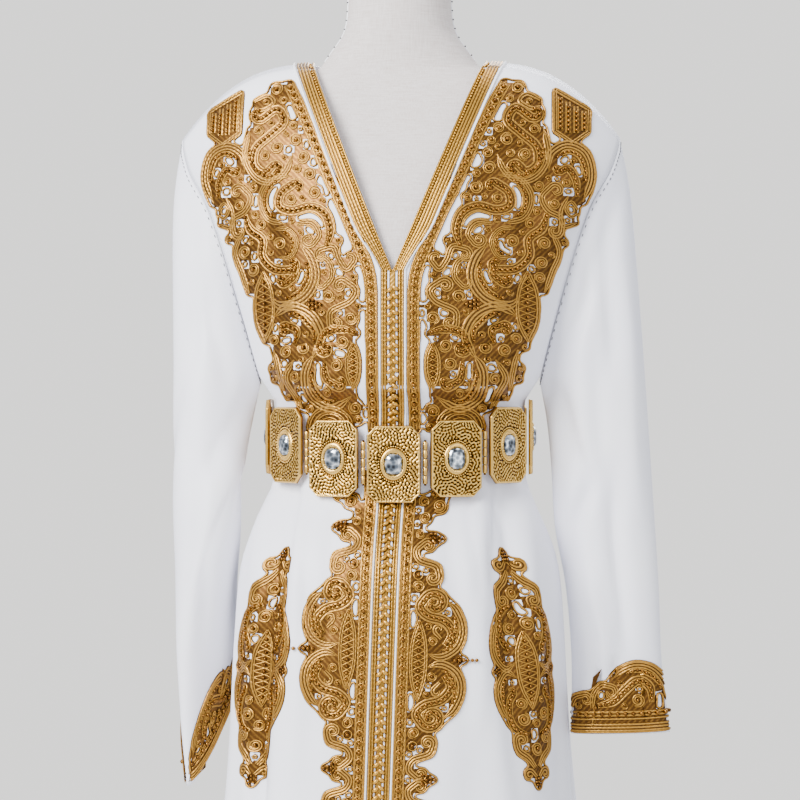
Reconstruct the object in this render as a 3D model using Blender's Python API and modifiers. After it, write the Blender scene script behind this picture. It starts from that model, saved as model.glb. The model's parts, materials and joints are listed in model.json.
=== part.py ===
# Moroccan kaftan with its hinged plate belt, on a limbless linen dress form.
# Metres, +Z up, front towards -Y, origin at the centre of the base's underside.
# "left" is the side at -X, "right" the side at +X.

from collections import namedtuple
from math import cos, exp, pi, sin, sqrt

import bmesh
import bpy
from mathutils import Matrix, Vector

# Cloth
WALL = 0.0016
SEAM = 0.00015  # half of the gap left between two sewn pieces
HEM = 0.022
UNDERARM = 1.166
V_POINT = 1.277
NECK_X, NECK_Z = 0.091, 1.503
TIP_X, TIP_Z = 0.232, 1.424
SHOULDER_CURVE = 2.5
NECK_BACK_DROP, NECK_BACK_DEPTH = 0.010, 0.066
ARMHOLE_DEPTH = 0.034
CHEST_ROUND = 2.4
BUST_GAIN = 0.0045
LEAN = -0.036  # how far the centre front drifts sideways by the floor

# Trims
BRAID_WIDTH = 0.0235  # measured level, across the slant of the neck edge
CLOSURE_HALF = 0.014
TRIM_LIFT, TRIM_WALL = 0.0006, 0.0012
CUFF_SHARE = 0.955  # where the cuff band starts, as a share of the sleeve
CLOSURE_TOP = 0.97  # how far up its last row of the V the closing braid reaches

# Sleeves
SEWN_GAP = 0.0018  # how far outside the armhole a sleeve's seam stands
SEWN_REACH = 0.34  # the share of a sleeve that its armhole still shapes

# Belt
WAIST, BELT_DIP, DIP_REACH = 1.106, 0.027, 0.075
BELT_HALF_WIDTH, BELT_HALF_DEPTH = 0.1388, 0.1085
PLATES = 12
PLATE_WIDTH, PLATE_HEIGHT, PLATE_THICK, PLATE_CHAMFER = 0.0560, 0.080, 0.003, 0.010
PLATE_RIM = 0.0008
STONE_WIDTH, STONE_HEIGHT, STONE_THICK = 0.018, 0.022, 0.004
STONE_CORNER, STONE_CROWN = 0.004, 0.0022
OVAL_STEPS = 720
HINGE_RADIUS, HINGE_LENGTH = 0.0022, 0.044

# Stand
NECK_TOP = 1.600
CAP_RADIUS, CAP_THICK = 0.050, 0.010
POLE_RADIUS, FORM_BOTTOM = 0.0125, 0.850
BASE_RADIUS, BASE_THICK, HUB_RADIUS, HUB_HEIGHT = 0.160, 0.012, 0.026, 0.060
GAP = 0.0003

FRONT_COLUMNS, BACK_COLUMNS_NECK, BACK_COLUMNS_SHOULDER = 11, 4, 7
NECK_ROWS, CHEST_ROWS = 9, 3
SLEEVE_ROUND, SLEEVE_ROWS, CUFF_ROWS = 20, 14, 1
FORM_ROUND = 24
INSIDE = Vector((0, 0, 0.8))  # a point that every panel of the body faces away from

BodyRing = namedtuple("BodyRing", "height half_width front back squareness steps")
BODY = [
    BodyRing(HEM, 0.234, 0.192, 0.205, 2.5, 2),
    BodyRing(0.300, 0.216, 0.178, 0.190, 2.5, 2),
    BodyRing(0.550, 0.194, 0.162, 0.172, 2.5, 2),
    BodyRing(0.740, 0.178, 0.150, 0.158, 2.5, 2),
    BodyRing(0.900, 0.173, 0.143, 0.148, 2.4, 1),
    BodyRing(0.970, 0.167, 0.136, 0.140, 2.3, 1),
    BodyRing(1.010, 0.154, 0.122, 0.126, 2.2, 2),
    BodyRing(1.056, 0.1325, 0.1000, 0.1010, 2.0, 1),
    BodyRing(WAIST, 0.1305, 0.0980, 0.0990, 2.0, 1),
    BodyRing(1.151, 0.1335, 0.1010, 0.1010, 2.0, 1),
    BodyRing(UNDERARM, 0.147, 0.121, 0.110, 2.0, 1),
    BodyRing(1.210, 0.150, 0.127, 0.112, 2.0, 0),
]

ArmholePoint = namedtuple("ArmholePoint", "share half_width")
ARMHOLE = [
    ArmholePoint(0.00, 0.147),
    ArmholePoint(0.28, 0.171),
    ArmholePoint(0.60, 0.199),
    ArmholePoint(0.80, 0.221),
    ArmholePoint(0.95, 0.231),
    ArmholePoint(1.00, TIP_X),
]

# Folds of the skirt: a ridge where depth is positive, a trough where negative.
FOLD_FLARE = 1.3  # how much deeper the folds are at the hem than at the hips
Fold = namedtuple("Fold", "turn spread depth top")
SKIRT_FOLDS = [
    Fold(-168, 9, 0.010, 0.98),
    Fold(-146, 8, -0.012, 1.00),
    Fold(-124, 9, 0.010, 0.96),
    Fold(-100, 8, -0.010, 0.98),
    Fold(-74, 9, 0.006, 1.00),
    Fold(-47, 6, -0.011, 1.02),
    Fold(-31, 8, 0.006, 0.94),
    Fold(27, 7, -0.004, 1.00),
    Fold(44, 9, 0.006, 1.00),
    Fold(76, 8, -0.008, 0.98),
    Fold(97, 9, 0.009, 0.97),
    Fold(118, 8, -0.011, 1.00),
    Fold(139, 9, 0.010, 0.96),
    Fold(160, 8, -0.011, 0.99),
    Fold(178, 8, 0.008, 1.00),
]

# Both long edges of each hanging sleeve and the half thickness between its layers.
SleeveRing = namedtuple("SleeveRing", "share over_x over_y over_z under_x under_y under_z half")
SLEEVE_RIGHT = [
    SleeveRing(0.00, 0.232, 0.000, 1.424, 0.150, 0.000, 1.166, 0.034),
    SleeveRing(0.12, 0.2435, 0.000, 1.366, 0.157, 0.004, 1.125, 0.036),
    SleeveRing(0.28, 0.2520, 0.000, 1.285, 0.161, 0.008, 1.075, 0.036),
    SleeveRing(0.45, 0.2600, 0.000, 1.180, 0.165, 0.010, 1.010, 0.034),
    SleeveRing(0.62, 0.2680, 0.000, 1.060, 0.176, 0.006, 0.950, 0.030),
    SleeveRing(0.78, 0.2750, 0.000, 0.950, 0.182, 0.002, 0.885, 0.026),
    SleeveRing(0.90, 0.2785, 0.000, 0.865, 0.183, 0.000, 0.836, 0.022),
    SleeveRing(1.00, 0.2870, 0.000, 0.793, 0.182, 0.000, 0.791, 0.018),
]
SLEEVE_LEFT = [
    SleeveRing(0.00, -0.232, 0.000, 1.424, -0.150, 0.000, 1.166, 0.034),
    SleeveRing(0.12, -0.241, 0.004, 1.366, -0.156, -0.006, 1.133, 0.034),
    SleeveRing(0.24, -0.243, 0.012, 1.295, -0.162, -0.016, 1.098, 0.032),
    SleeveRing(0.38, -0.239, 0.028, 1.210, -0.170, -0.034, 1.068, 0.033),
    SleeveRing(0.52, -0.227, 0.046, 1.120, -0.188, -0.048, 1.030, 0.038),
    SleeveRing(0.66, -0.206, 0.055, 1.025, -0.209, -0.052, 0.972, 0.035),
    SleeveRing(0.80, -0.190, 0.050, 0.945, -0.2245, -0.048, 0.890, 0.026),
    SleeveRing(0.91, -0.185, 0.040, 0.885, -0.227, -0.040, 0.812, 0.018),
    SleeveRing(1.00, -0.183, 0.028, 0.832, -0.2236, -0.030, 0.735, 0.013),
]

# Dents of the sleeves' layers. Around 90 degrees is the middle of the front layer.
SleeveDent = namedtuple("SleeveDent", "right share reach around spread depth")
SLEEVE_DENTS = [
    SleeveDent(True, 0.26, 0.15, 140, 20, -0.015),
    SleeveDent(True, 0.42, 0.26, 84, 14, -0.005),
    SleeveDent(True, 0.30, 0.16, 232, 20, -0.010),
    SleeveDent(False, 0.30, 0.14, 132, 18, -0.008),
    SleeveDent(False, 0.50, 0.22, 70, 18, -0.004),
    SleeveDent(False, 0.40, 0.16, 240, 22, -0.008),
]

FormRing = namedtuple("FormRing", "height half_width front back")
FORM = [
    FormRing(FORM_BOTTOM, 0.130, 0.096, 0.102),
    FormRing(0.862, 0.148, 0.112, 0.118),
    FormRing(0.930, 0.152, 0.117, 0.124),
    FormRing(1.000, 0.142, 0.104, 0.112),
    FormRing(1.050, 0.126, 0.088, 0.092),
    FormRing(WAIST, 0.120, 0.085, 0.087),
    FormRing(UNDERARM, 0.137, 0.106, 0.097),
    FormRing(1.230, 0.150, 0.118, 0.101),
    FormRing(1.275, 0.159, 0.119, 0.102),
    FormRing(1.330, 0.173, 0.110, 0.101),
    FormRing(1.385, 0.188, 0.092, 0.094),
    FormRing(1.425, 0.194, 0.074, 0.080),
    FormRing(1.453, 0.178, 0.064, 0.067),
    FormRing(1.474, 0.144, 0.056, 0.054),
    FormRing(1.488, 0.113, 0.050, 0.048),
    FormRing(1.497, 0.0890, 0.048, 0.048),
    FormRing(1.506, 0.0805, 0.047, 0.048),
    FormRing(1.519, 0.0712, 0.047, 0.049),
    FormRing(1.531, 0.0626, 0.048, 0.050),
    FormRing(1.543, 0.0578, 0.049, 0.050),
    FormRing(1.560, 0.0555, 0.050, 0.050),
    FormRing(NECK_TOP, 0.0550, 0.051, 0.051),
]


def clear_scene():
    for item in list(bpy.data.objects):
        bpy.data.objects.remove(item, do_unlink=True)


def smooth(value):
    held = min(1.0, max(0.0, value))
    return held * held * (3 - 2 * held)


def column(table, name, at):
    """Value of a table's column at a place on its first column, on a smooth curve through the rows."""
    places = [row[0] for row in table]
    values = [getattr(row, name) for row in table]
    at = min(places[-1], max(places[0], at))
    k = max(i for i in range(len(table) - 1) if places[i] <= at)
    span = places[k + 1] - places[k]
    part = (at - places[k]) / span

    def slope(i):
        low, high = max(0, i - 1), min(len(table) - 1, i + 1)
        return (values[high] - values[low]) / (places[high] - places[low]) * span

    keep = 2 * part**3 - 3 * part**2 + 1
    lead = part**3 - 2 * part**2 + part
    trail = part**3 - part**2
    return keep * values[k] + lead * slope(k) + (1 - keep) * values[k + 1] + trail * slope(k + 1)


def shoulder_height(x):
    past = max(0.0, (abs(x) - NECK_X) / (TIP_X - NECK_X))
    return NECK_Z - (NECK_Z - TIP_Z) * past**SHOULDER_CURVE


def dipped(x, z):
    """Height on the body table: the waist sits lower at the centre front, under the belt's curve."""
    near = exp(-(((z - WAIST + BELT_DIP) / DIP_REACH) ** 2))
    return z + BELT_DIP * near * max(0.0, 1 - (x / BODY[-1].half_width) ** 2)


def fold_depth(turn, z):
    degrees = turn * 180 / pi
    total = 0.0
    for fold in SKIRT_FOLDS:
        away = (degrees - fold.turn + 180) % 360 - 180
        grown = smooth((fold.top - z) / 0.35) * (1 + FOLD_FLARE * smooth((0.75 - z) / 0.7))
        total += fold.depth * grown * exp(-((away / fold.spread) ** 2))
    return total


def ring_point(turn, z):
    """Point of the body below the underarm. Turn 0 is the centre front and pi the centre back."""
    x = column(BODY, "half_width", z) * abs(sin(turn)) ** (2 / column(BODY, "squareness", z))
    side = 1 if sin(turn) >= 0 else -1
    if cos(turn) >= 0:
        depth = -column(BODY, "front", dipped(x, z))
    else:
        depth = column(BODY, "back", z)
    y = depth * abs(cos(turn)) ** (2 / column(BODY, "squareness", z))
    away = Vector((side * x, y, 0)).normalized()
    return Vector((side * x, y, z)) + away * fold_depth(turn, z)


def chest_point(x, share, side, front):
    """Point above the underarm: share 0 is the underarm level and 1 the shoulder line."""
    top = shoulder_height(x)
    if not front and x < NECK_X:
        top -= NECK_BACK_DROP * (1 - (x / NECK_X) ** 2)
    z = UNDERARM + (top - UNDERARM) * share
    edge = ARMHOLE_DEPTH * sin(pi * min(1.0, share)) ** 0.8
    across = min(1.0, x / column(ARMHOLE, "half_width", share))
    flat = 0.5 + 0.25 * smooth(share * 2)
    fall = max(0.0, 1 - share**CHEST_ROUND) ** (1 / CHEST_ROUND)
    if front:
        full = column(BODY, "front", dipped(x, UNDERARM)) + BUST_GAIN * sin(pi * share)
        y = -(edge + (full * fall - edge) * max(0.0, 1 - across**2) ** flat)
    else:
        full = column(BODY, "back", UNDERARM)
        y = edge + (full * fall - edge) * max(0.0, 1 - across**2) ** flat
        y += NECK_BACK_DEPTH * sqrt(max(0.0, 1 - (x / NECK_X) ** 2)) * share**4
    return Vector((side * x, y, z))


def neck_edge(share):
    z = UNDERARM + (NECK_Z - UNDERARM) * share
    return max(0.0, (z - V_POINT) / (NECK_Z - V_POINT)) * NECK_X


def body_heights():
    """Heights of the rows from the hem up to just below the underarm."""
    heights = []
    for low, high in zip(BODY, BODY[1:]):
        heights += [low.height + (high.height - low.height) * k / low.steps for k in range(low.steps)]
    return [height for height in heights if height < UNDERARM]


def chest_shares():
    v_share = (V_POINT - UNDERARM) / (NECK_Z - UNDERARM)
    shares = [v_share * k / CHEST_ROWS for k in range(CHEST_ROWS)]
    for k in range(NECK_ROWS + 1):
        shares.append(v_share + (1 - v_share) * sin(k / NECK_ROWS * pi / 2))
    return shares


def parted(point, side):
    """Keeps a front point clear of the centre and side seams."""
    point.x = side * max(SEAM, side * point.x)
    point.y = min(-SEAM, point.y)
    return point


def trim_width(share):
    v_share = (V_POINT - UNDERARM) / (NECK_Z - UNDERARM)
    return CLOSURE_HALF + (BRAID_WIDTH - CLOSURE_HALF) * smooth((share - v_share) / 0.1)


def front_rows(side):
    rows = []
    for z in body_heights():
        half, power = column(BODY, "half_width", z), column(BODY, "squareness", z)
        first = (CLOSURE_HALF / half) ** (power / 2)
        turns = [0.0] + [first + (pi / 2 - first) * k / FRONT_COLUMNS for k in range(FRONT_COLUMNS + 1)]
        row = [parted(ring_point(side * turn, z), side) for turn in turns]
        drift = LEAN * (UNDERARM - z) / UNDERARM
        for point, turn in zip(row, turns):
            point.x += drift * cos(turn) ** 2
        rows.append(row)
    for share in chest_shares():
        inner, outer = neck_edge(share), column(ARMHOLE, "half_width", share)
        start = inner + trim_width(share)
        places = [inner]
        for k in range(FRONT_COLUMNS + 1):
            part = k / FRONT_COLUMNS
            bend = sin(part * pi / 2) * (1 - smooth(share / 0.4)) + part * smooth(share / 0.4)
            places.append(start + (outer - start) * bend)
        rows.append([parted(chest_point(x, share, side, True), side) for x in places])
    return rows


def back_places(share):
    """Distances from the centre back of one row's points, neck edge included."""
    outer = column(ARMHOLE, "half_width", share)
    neck = NECK_X * outer / TIP_X
    places = [neck * k / BACK_COLUMNS_NECK for k in range(BACK_COLUMNS_NECK)]
    for k in range(BACK_COLUMNS_SHOULDER + 1):
        places.append(neck + (outer - neck) * k / BACK_COLUMNS_SHOULDER)
    return places


def back_rows():
    rows = []
    columns = BACK_COLUMNS_NECK + BACK_COLUMNS_SHOULDER
    for z in body_heights():
        turns = [pi - pi / 2 * k / columns for k in range(columns + 1)]
        right = [ring_point(turn, z) for turn in turns]
        left = [ring_point(-turn, z) for turn in turns[:0:-1]]
        rows.append(left + right)
    for share in chest_shares():
        level = back_places(share)
        bent = [level[-1] * sin(k / columns * pi / 2) for k in range(columns + 1)]
        blend = smooth(share / 0.4)
        places = [a * (1 - blend) + b * blend for a, b in zip(bent, level)]
        right = [chest_point(x, share, 1, False) for x in places]
        left = [chest_point(x, share, -1, False) for x in places[:0:-1]]
        rows.append(left + right)
    for row in rows:
        for point in row:
            point.y = max(SEAM, point.y)
    return rows


def dent_depth(table, share, around):
    total = 0.0
    for dent in SLEEVE_DENTS:
        if dent.right == (table is SLEEVE_RIGHT):
            along = exp(-(((share - dent.share) / dent.reach) ** 2))
            total += dent.depth * along * exp(-(((around * 180 / pi - dent.around) / dent.spread) ** 2))
    return total


def armhole_loop(around, side):
    """Point of the armhole: 0 is the shoulder tip, pi the underarm, through the front first."""
    share = (1 + cos(around)) / 2
    x = column(ARMHOLE, "half_width", share)
    z = UNDERARM + (shoulder_height(x) - UNDERARM) * share
    y = ARMHOLE_DEPTH * sin(pi * share) ** 0.8
    return Vector((side * x, -y if around < pi else y, z))


def sleeve_oval(table, share, around):
    over, under = [
        Vector([column(table, edge + axis, share) for axis in ("_x", "_y", "_z")])
        for edge in ("over", "under")
    ]
    middle, reach = (over + under) / 2, (over - under) / 2
    forward = reach.cross(Vector((0, 0, 1))).normalized()
    if table is SLEEVE_LEFT:
        forward = -forward
    return middle + reach * cos(around) + forward * column(table, "half", share) * sin(around)


def sleeve_point(table, share, around):
    side = 1 if table is SLEEVE_RIGHT else -1
    sewn = armhole_loop(around, side) + Vector((side * SEWN_GAP, 0, 0))
    keep = 1 - smooth(share / SEWN_REACH)
    place = sleeve_oval(table, share, around) + (sewn - sleeve_oval(table, 0, around)) * keep
    middle = (sleeve_oval(table, share, 0) + sleeve_oval(table, share, pi)) / 2
    return place + (place - middle).normalized() * dent_depth(table, share, around)


def sleeve_rows(table, low=0.0, high=1.0, count=SLEEVE_ROWS):
    rows = []
    for k in range(count + 1):
        share = low + (high - low) * k / count
        angles = [2 * pi * (step + 0.5) / SLEEVE_ROUND for step in range(SLEEVE_ROUND)]
        rows.append([sleeve_point(table, share, around) for around in angles])
    return rows


def material(name, colour, roughness, metallic=0.0):
    made = bpy.data.materials.new(name)
    made.use_nodes = True
    shader = made.node_tree.nodes["Principled BSDF"]
    shader.inputs["Base Color"].default_value = (*colour, 1)
    shader.inputs["Roughness"].default_value = roughness
    shader.inputs["Metallic"].default_value = metallic
    return made


def add_object(name, shape, finish, collection):
    mesh = bpy.data.meshes.new(name)
    shape.to_mesh(mesh)
    shape.free()
    made = bpy.data.objects.new(name, mesh)
    made.data.materials.append(finish)
    collection.objects.link(made)
    return made


def lofted(rows, ring=False):
    """Surface through rows of points. A ring's rows close on themselves."""
    shape = bmesh.new()
    grid = [[shape.verts.new(point) for point in row] for row in rows]
    for low, high in zip(grid, grid[1:]):
        count = len(low)
        for k in range(count if ring else count - 1):
            shape.faces.new((low[k], low[(k + 1) % count], high[(k + 1) % count], high[k]))
    return shape


def faces_outward(shape, inside):
    """Turns the surface round if its faces look towards the inside point."""
    shape.normal_update()
    lean = 0.0
    for face in shape.faces:
        lean += (face.calc_center_median() - inside).dot(face.normal) * face.calc_area()
    if lean < 0:
        bmesh.ops.reverse_faces(shape, faces=shape.faces)
    return shape


def thickened(item, thickness, offset):
    wall = item.modifiers.new("Cloth wall", "SOLIDIFY")
    wall.thickness = thickness
    wall.offset = offset
    return item


def moved_out(rows, distance):
    """The same rows, moved out along the surface's own normals."""
    shape = faces_outward(lofted(rows), INSIDE)
    points = iter([vert.co + vert.normal * distance for vert in shape.verts])
    moved = [[next(points) for _ in row] for row in rows]
    shape.free()
    return moved


def build_bodice(collection, cloth, braid):
    for name, side in (("left", -1), ("right", 1)):
        rows = front_rows(side)
        panel = add_object("front_" + name, faces_outward(lofted(rows), INSIDE), cloth, collection)
        thickened(panel, WALL, 1)
        raised = moved_out(rows, WALL + TRIM_LIFT)
        first = len(body_heights()) + CHEST_ROWS
        strip = [[row[0], row[1]] for row in raised[first:]]
        trim = add_object("neck_braid_" + name, faces_outward(lofted(strip), INSIDE), braid, collection)
        thickened(trim, TRIM_WALL, 1)
    rows = back_rows()
    middle = BACK_COLUMNS_NECK + BACK_COLUMNS_SHOULDER
    for name, side in (("left", -1), ("right", 1)):
        half = [row[: middle + 1] if side < 0 else row[middle:] for row in rows]
        for row in half:
            for k, point in enumerate(row):
                row[k] = Vector((side * max(SEAM, side * point.x), point.y, point.z))
        panel = add_object("back_" + name, faces_outward(lofted(half), INSIDE), cloth, collection)
        thickened(panel, WALL, 1)


def build_closure(collection, braid):
    """The closing braid down the centre front, over the seam, from the V to the hem."""
    last = len(body_heights()) + CHEST_ROWS
    sides = [moved_out(front_rows(side), WALL + TRIM_LIFT)[: last + 1] for side in (-1, 1)]
    strip = []
    for left, right in zip(*sides):
        middle = (left[0] + right[0]) / 2
        middle.y = min(left[0].y, right[0].y)
        strip.append([left[1], middle, right[1]])
    strip[-1] = [low.lerp(high, CLOSURE_TOP) for low, high in zip(strip[-2], strip[-1])]
    trim = add_object("centre_closure", faces_outward(lofted(strip), INSIDE), braid, collection)
    return thickened(trim, TRIM_WALL, 1)


def build_back_braid(collection, braid):
    """The neck braid's run round the back of the neck, from shoulder to shoulder."""
    middle = BACK_COLUMNS_NECK + BACK_COLUMNS_SHOULDER
    reach = BACK_COLUMNS_NECK + 1
    raised = moved_out(back_rows(), WALL + TRIM_LIFT)[-3:]
    strip = [row[middle - reach : middle + reach + 1] for row in raised]
    trim = add_object("neck_braid_back", faces_outward(lofted(strip), INSIDE), braid, collection)
    return thickened(trim, TRIM_WALL, 1)


def build_sleeves(collection, cloth, braid):
    for name, table in (("left", SLEEVE_LEFT), ("right", SLEEVE_RIGHT)):
        shape = lofted(sleeve_rows(table), ring=True)
        bmesh.ops.recalc_face_normals(shape, faces=shape.faces)
        low, high = table[3], table[4]
        middle = Vector((low.over_x + high.under_x, low.over_y + high.under_y, low.over_z + high.under_z)) / 2
        panel = add_object("sleeve_" + name, faces_outward(shape, middle), cloth, collection)
        thickened(panel, WALL, -1)
        rows = sleeve_rows(table, CUFF_SHARE, 1.0, CUFF_ROWS)
        end = sum(rows[-1], Vector()) / SLEEVE_ROUND
        band = faces_outward(lofted(rows, ring=True), end)
        bmesh.ops.recalc_face_normals(band, faces=band.faces)
        band = faces_outward(band, end)
        for vert in band.verts:
            vert.co += vert.normal * TRIM_LIFT
        cuff = add_object("cuff_braid_" + name, band, braid, collection)
        thickened(cuff, TRIM_WALL, 1)


def oval_step(turn):
    """Length of one small step round the belt's oval."""
    return sqrt((BELT_HALF_WIDTH * cos(turn)) ** 2 + (BELT_HALF_DEPTH * sin(turn)) ** 2) * 2 * pi / OVAL_STEPS


def belt_place(distance):
    """Point and heading on the belt's oval, a distance round it from the centre front."""
    walked, turn = 0.0, 0.0
    while walked < distance:
        walked += oval_step(turn)
        turn += 2 * pi / OVAL_STEPS
    z = WAIST - BELT_DIP * max(0.0, cos(turn)) ** 2
    place = Vector((BELT_HALF_WIDTH * sin(turn), -BELT_HALF_DEPTH * cos(turn), z))
    along = Vector((BELT_HALF_WIDTH * cos(turn), BELT_HALF_DEPTH * sin(turn), 0)).normalized()
    return place, along


def belt_length():
    return sum(oval_step(2 * pi * k / OVAL_STEPS) for k in range(OVAL_STEPS))


def standing(place, along):
    """Turns +X to run along the belt and -Y to face out of it."""
    back = Vector((0, 0, 1)).cross(along)
    frame = Matrix((along, back, Vector((0, 0, 1)))).transposed().to_4x4()
    return Matrix.Translation(place) @ frame


def plate_shape():
    shape = bmesh.new()
    bmesh.ops.create_cube(shape, size=1)
    bmesh.ops.scale(shape, vec=(PLATE_WIDTH, PLATE_THICK, PLATE_HEIGHT), verts=shape.verts)
    corners = [edge for edge in shape.edges if abs(edge.verts[0].co.y - edge.verts[1].co.y) > PLATE_THICK / 2]
    bmesh.ops.bevel(
        shape, geom=corners, offset=PLATE_CHAMFER, affect="EDGES", segments=1, profile=0.5, material=-1
    )
    rim = [edge for edge in shape.edges if all(vert.co.y < 0 for vert in edge.verts)]
    bmesh.ops.bevel(shape, geom=rim, offset=PLATE_RIM, affect="EDGES", segments=1, profile=0.5, material=-1)
    return shape


def stone_shape():
    """A cushion-cut stone: a table on a sloping crown over straight sides."""
    shape = bmesh.new()
    bmesh.ops.create_cube(shape, size=1)
    bmesh.ops.scale(shape, vec=(STONE_WIDTH, STONE_THICK, STONE_HEIGHT), verts=shape.verts)
    corners = [edge for edge in shape.edges if abs(edge.verts[0].co.y - edge.verts[1].co.y) > STONE_THICK / 2]
    bmesh.ops.bevel(
        shape, geom=corners, offset=STONE_CORNER, affect="EDGES", segments=2, profile=0.5, material=-1
    )
    rim = [edge for edge in shape.edges if all(vert.co.y < 0 for vert in edge.verts)]
    bmesh.ops.bevel(shape, geom=rim, offset=STONE_CROWN, affect="EDGES", segments=1, profile=0.5, material=-1)
    return shape


def hinge_shape():
    shape = bmesh.new()
    bmesh.ops.create_cone(
        shape, cap_ends=True, segments=12, radius1=HINGE_RADIUS, radius2=HINGE_RADIUS, depth=HINGE_LENGTH
    )
    return shape


def build_belt(collection, gold, crystal):
    pitch = belt_length() / PLATES
    for k in range(PLATES):
        place, along = belt_place(k * pitch)
        plate = plate_shape()
        bmesh.ops.transform(plate, matrix=standing(place, along), verts=plate.verts)
        add_object(f"belt_plate_{k + 1:02d}", plate, gold, collection)
        outward = Vector((along.y, -along.x, 0))
        stone = stone_shape()
        lifted = place + outward * (PLATE_THICK / 2 + STONE_THICK / 2 + GAP)
        bmesh.ops.transform(stone, matrix=standing(lifted, along), verts=stone.verts)
        add_object(f"belt_stone_{k + 1:02d}", stone, crystal, collection)
        middle, along = belt_place((k + 0.5) * pitch)
        hinge = hinge_shape()
        bmesh.ops.transform(hinge, matrix=standing(middle, along), verts=hinge.verts)
        add_object(f"belt_hinge_{k + 1:02d}", hinge, gold, collection)


def build_form(collection, linen, wood, steel):
    rows = []
    for ring in FORM:
        row = []
        for k in range(FORM_ROUND):
            turn = 2 * pi * (k + 0.5) / FORM_ROUND
            depth = ring.front if cos(turn) > 0 else ring.back
            row.append(Vector((ring.half_width * sin(turn), -depth * cos(turn), ring.height)))
        rows.append(row)
    torso = lofted(rows, ring=True)
    rims = [edge for edge in torso.edges if edge.is_boundary]
    bmesh.ops.holes_fill(torso, edges=rims, sides=FORM_ROUND)
    bmesh.ops.recalc_face_normals(torso, faces=torso.faces)
    add_object("form_torso", torso, linen, collection).data.shade_smooth()
    build_turned("form_neck_cap", cap_profile(), wood, collection)
    build_turned("stand_base", base_profile(), steel, collection)
    pole = bmesh.new()
    length = FORM_BOTTOM - GAP - (HUB_HEIGHT + GAP)
    bmesh.ops.create_cone(
        pole, cap_ends=True, segments=20, radius1=POLE_RADIUS, radius2=POLE_RADIUS, depth=length
    )
    bmesh.ops.translate(pole, vec=(0, 0, HUB_HEIGHT + GAP + length / 2), verts=pole.verts)
    add_object("stand_pole", pole, steel, collection)


def cap_profile():
    low, high = NECK_TOP + GAP, NECK_TOP + GAP + CAP_THICK
    return [(0, high), (CAP_RADIUS - 0.004, high), (CAP_RADIUS, high - 0.004), (CAP_RADIUS, low), (0, low)]


def base_profile():
    return [
        (0, HUB_HEIGHT),
        (HUB_RADIUS - 0.003, HUB_HEIGHT),
        (HUB_RADIUS, HUB_HEIGHT - 0.003),
        (HUB_RADIUS, 0.026),
        (HUB_RADIUS + 0.010, BASE_THICK + 0.003),
        (HUB_RADIUS + 0.030, BASE_THICK),
        (BASE_RADIUS - 0.004, BASE_THICK - 0.003),
        (BASE_RADIUS, BASE_THICK - 0.007),
        (BASE_RADIUS, 0),
        (0, 0),
    ]


def build_turned(name, profile, finish, collection):
    shape = bmesh.new()
    points = [shape.verts.new((radius, 0, height)) for radius, height in profile]
    for low, high in zip(points, points[1:]):
        shape.edges.new((low, high))
    made = add_object(name, shape, finish, collection)
    turn = made.modifiers.new("Turn", "SCREW")
    turn.steps = turn.render_steps = 32
    turn.use_merge_vertices = True
    turn.merge_threshold = 0.0001
    return made


def main():
    clear_scene()
    collection = bpy.data.collections.new("Kaftan on dress form")
    bpy.context.scene.collection.children.link(collection)
    cloth = material("White crepe satin", (0.90, 0.90, 0.93), 0.45)
    braid = material("Gold passementerie", (0.52, 0.31, 0.07), 0.35, 0.7)
    gold = material("Pale antique gold", (0.62, 0.47, 0.20), 0.30, 1.0)
    crystal = material("Clear cut crystal", (0.85, 0.88, 0.90), 0.05)
    linen = material("Grey-beige linen", (0.62, 0.56, 0.53), 0.85)
    wood = material("Pale turned beech", (0.55, 0.40, 0.26), 0.50)
    steel = material("White lacquered steel", (0.80, 0.80, 0.80), 0.35)
    build_bodice(collection, cloth, braid)
    build_back_braid(collection, braid)
    build_closure(collection, braid)
    build_sleeves(collection, cloth, braid)
    build_belt(collection, gold, crystal)
    build_form(collection, linen, wood, steel)


main()
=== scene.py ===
import json
from math import cos, exp, pi, radians, sin, sqrt

import bmesh
import bpy
import numpy as np
from mathutils import Matrix, Vector, noise
from mathutils.bvhtree import BVHTree

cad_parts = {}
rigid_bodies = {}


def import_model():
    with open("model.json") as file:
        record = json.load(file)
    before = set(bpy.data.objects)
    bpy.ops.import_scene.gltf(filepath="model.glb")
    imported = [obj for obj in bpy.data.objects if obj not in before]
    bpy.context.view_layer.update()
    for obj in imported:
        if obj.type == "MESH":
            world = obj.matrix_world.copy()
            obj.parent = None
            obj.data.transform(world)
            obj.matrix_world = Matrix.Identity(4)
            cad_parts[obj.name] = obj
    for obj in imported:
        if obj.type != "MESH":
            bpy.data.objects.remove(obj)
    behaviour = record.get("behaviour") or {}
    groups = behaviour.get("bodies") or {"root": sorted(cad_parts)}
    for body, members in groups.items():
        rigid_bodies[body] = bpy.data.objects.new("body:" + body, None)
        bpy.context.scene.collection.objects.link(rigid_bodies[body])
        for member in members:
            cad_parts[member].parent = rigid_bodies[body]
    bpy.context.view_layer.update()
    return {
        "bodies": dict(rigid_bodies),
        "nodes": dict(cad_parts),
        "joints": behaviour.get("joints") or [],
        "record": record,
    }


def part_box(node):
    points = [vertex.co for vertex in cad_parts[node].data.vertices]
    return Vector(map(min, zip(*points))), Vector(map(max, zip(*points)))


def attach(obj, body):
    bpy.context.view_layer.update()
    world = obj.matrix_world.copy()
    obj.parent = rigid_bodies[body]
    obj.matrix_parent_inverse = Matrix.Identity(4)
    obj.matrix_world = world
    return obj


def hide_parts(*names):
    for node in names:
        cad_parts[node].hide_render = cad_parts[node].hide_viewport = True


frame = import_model()
print("frame loaded:", len(frame["nodes"]), "nodes")


# small helpers

def smooth(value):
    held = min(1.0, max(0.0, value))
    return held * held * (3 - 2 * held)


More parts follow.
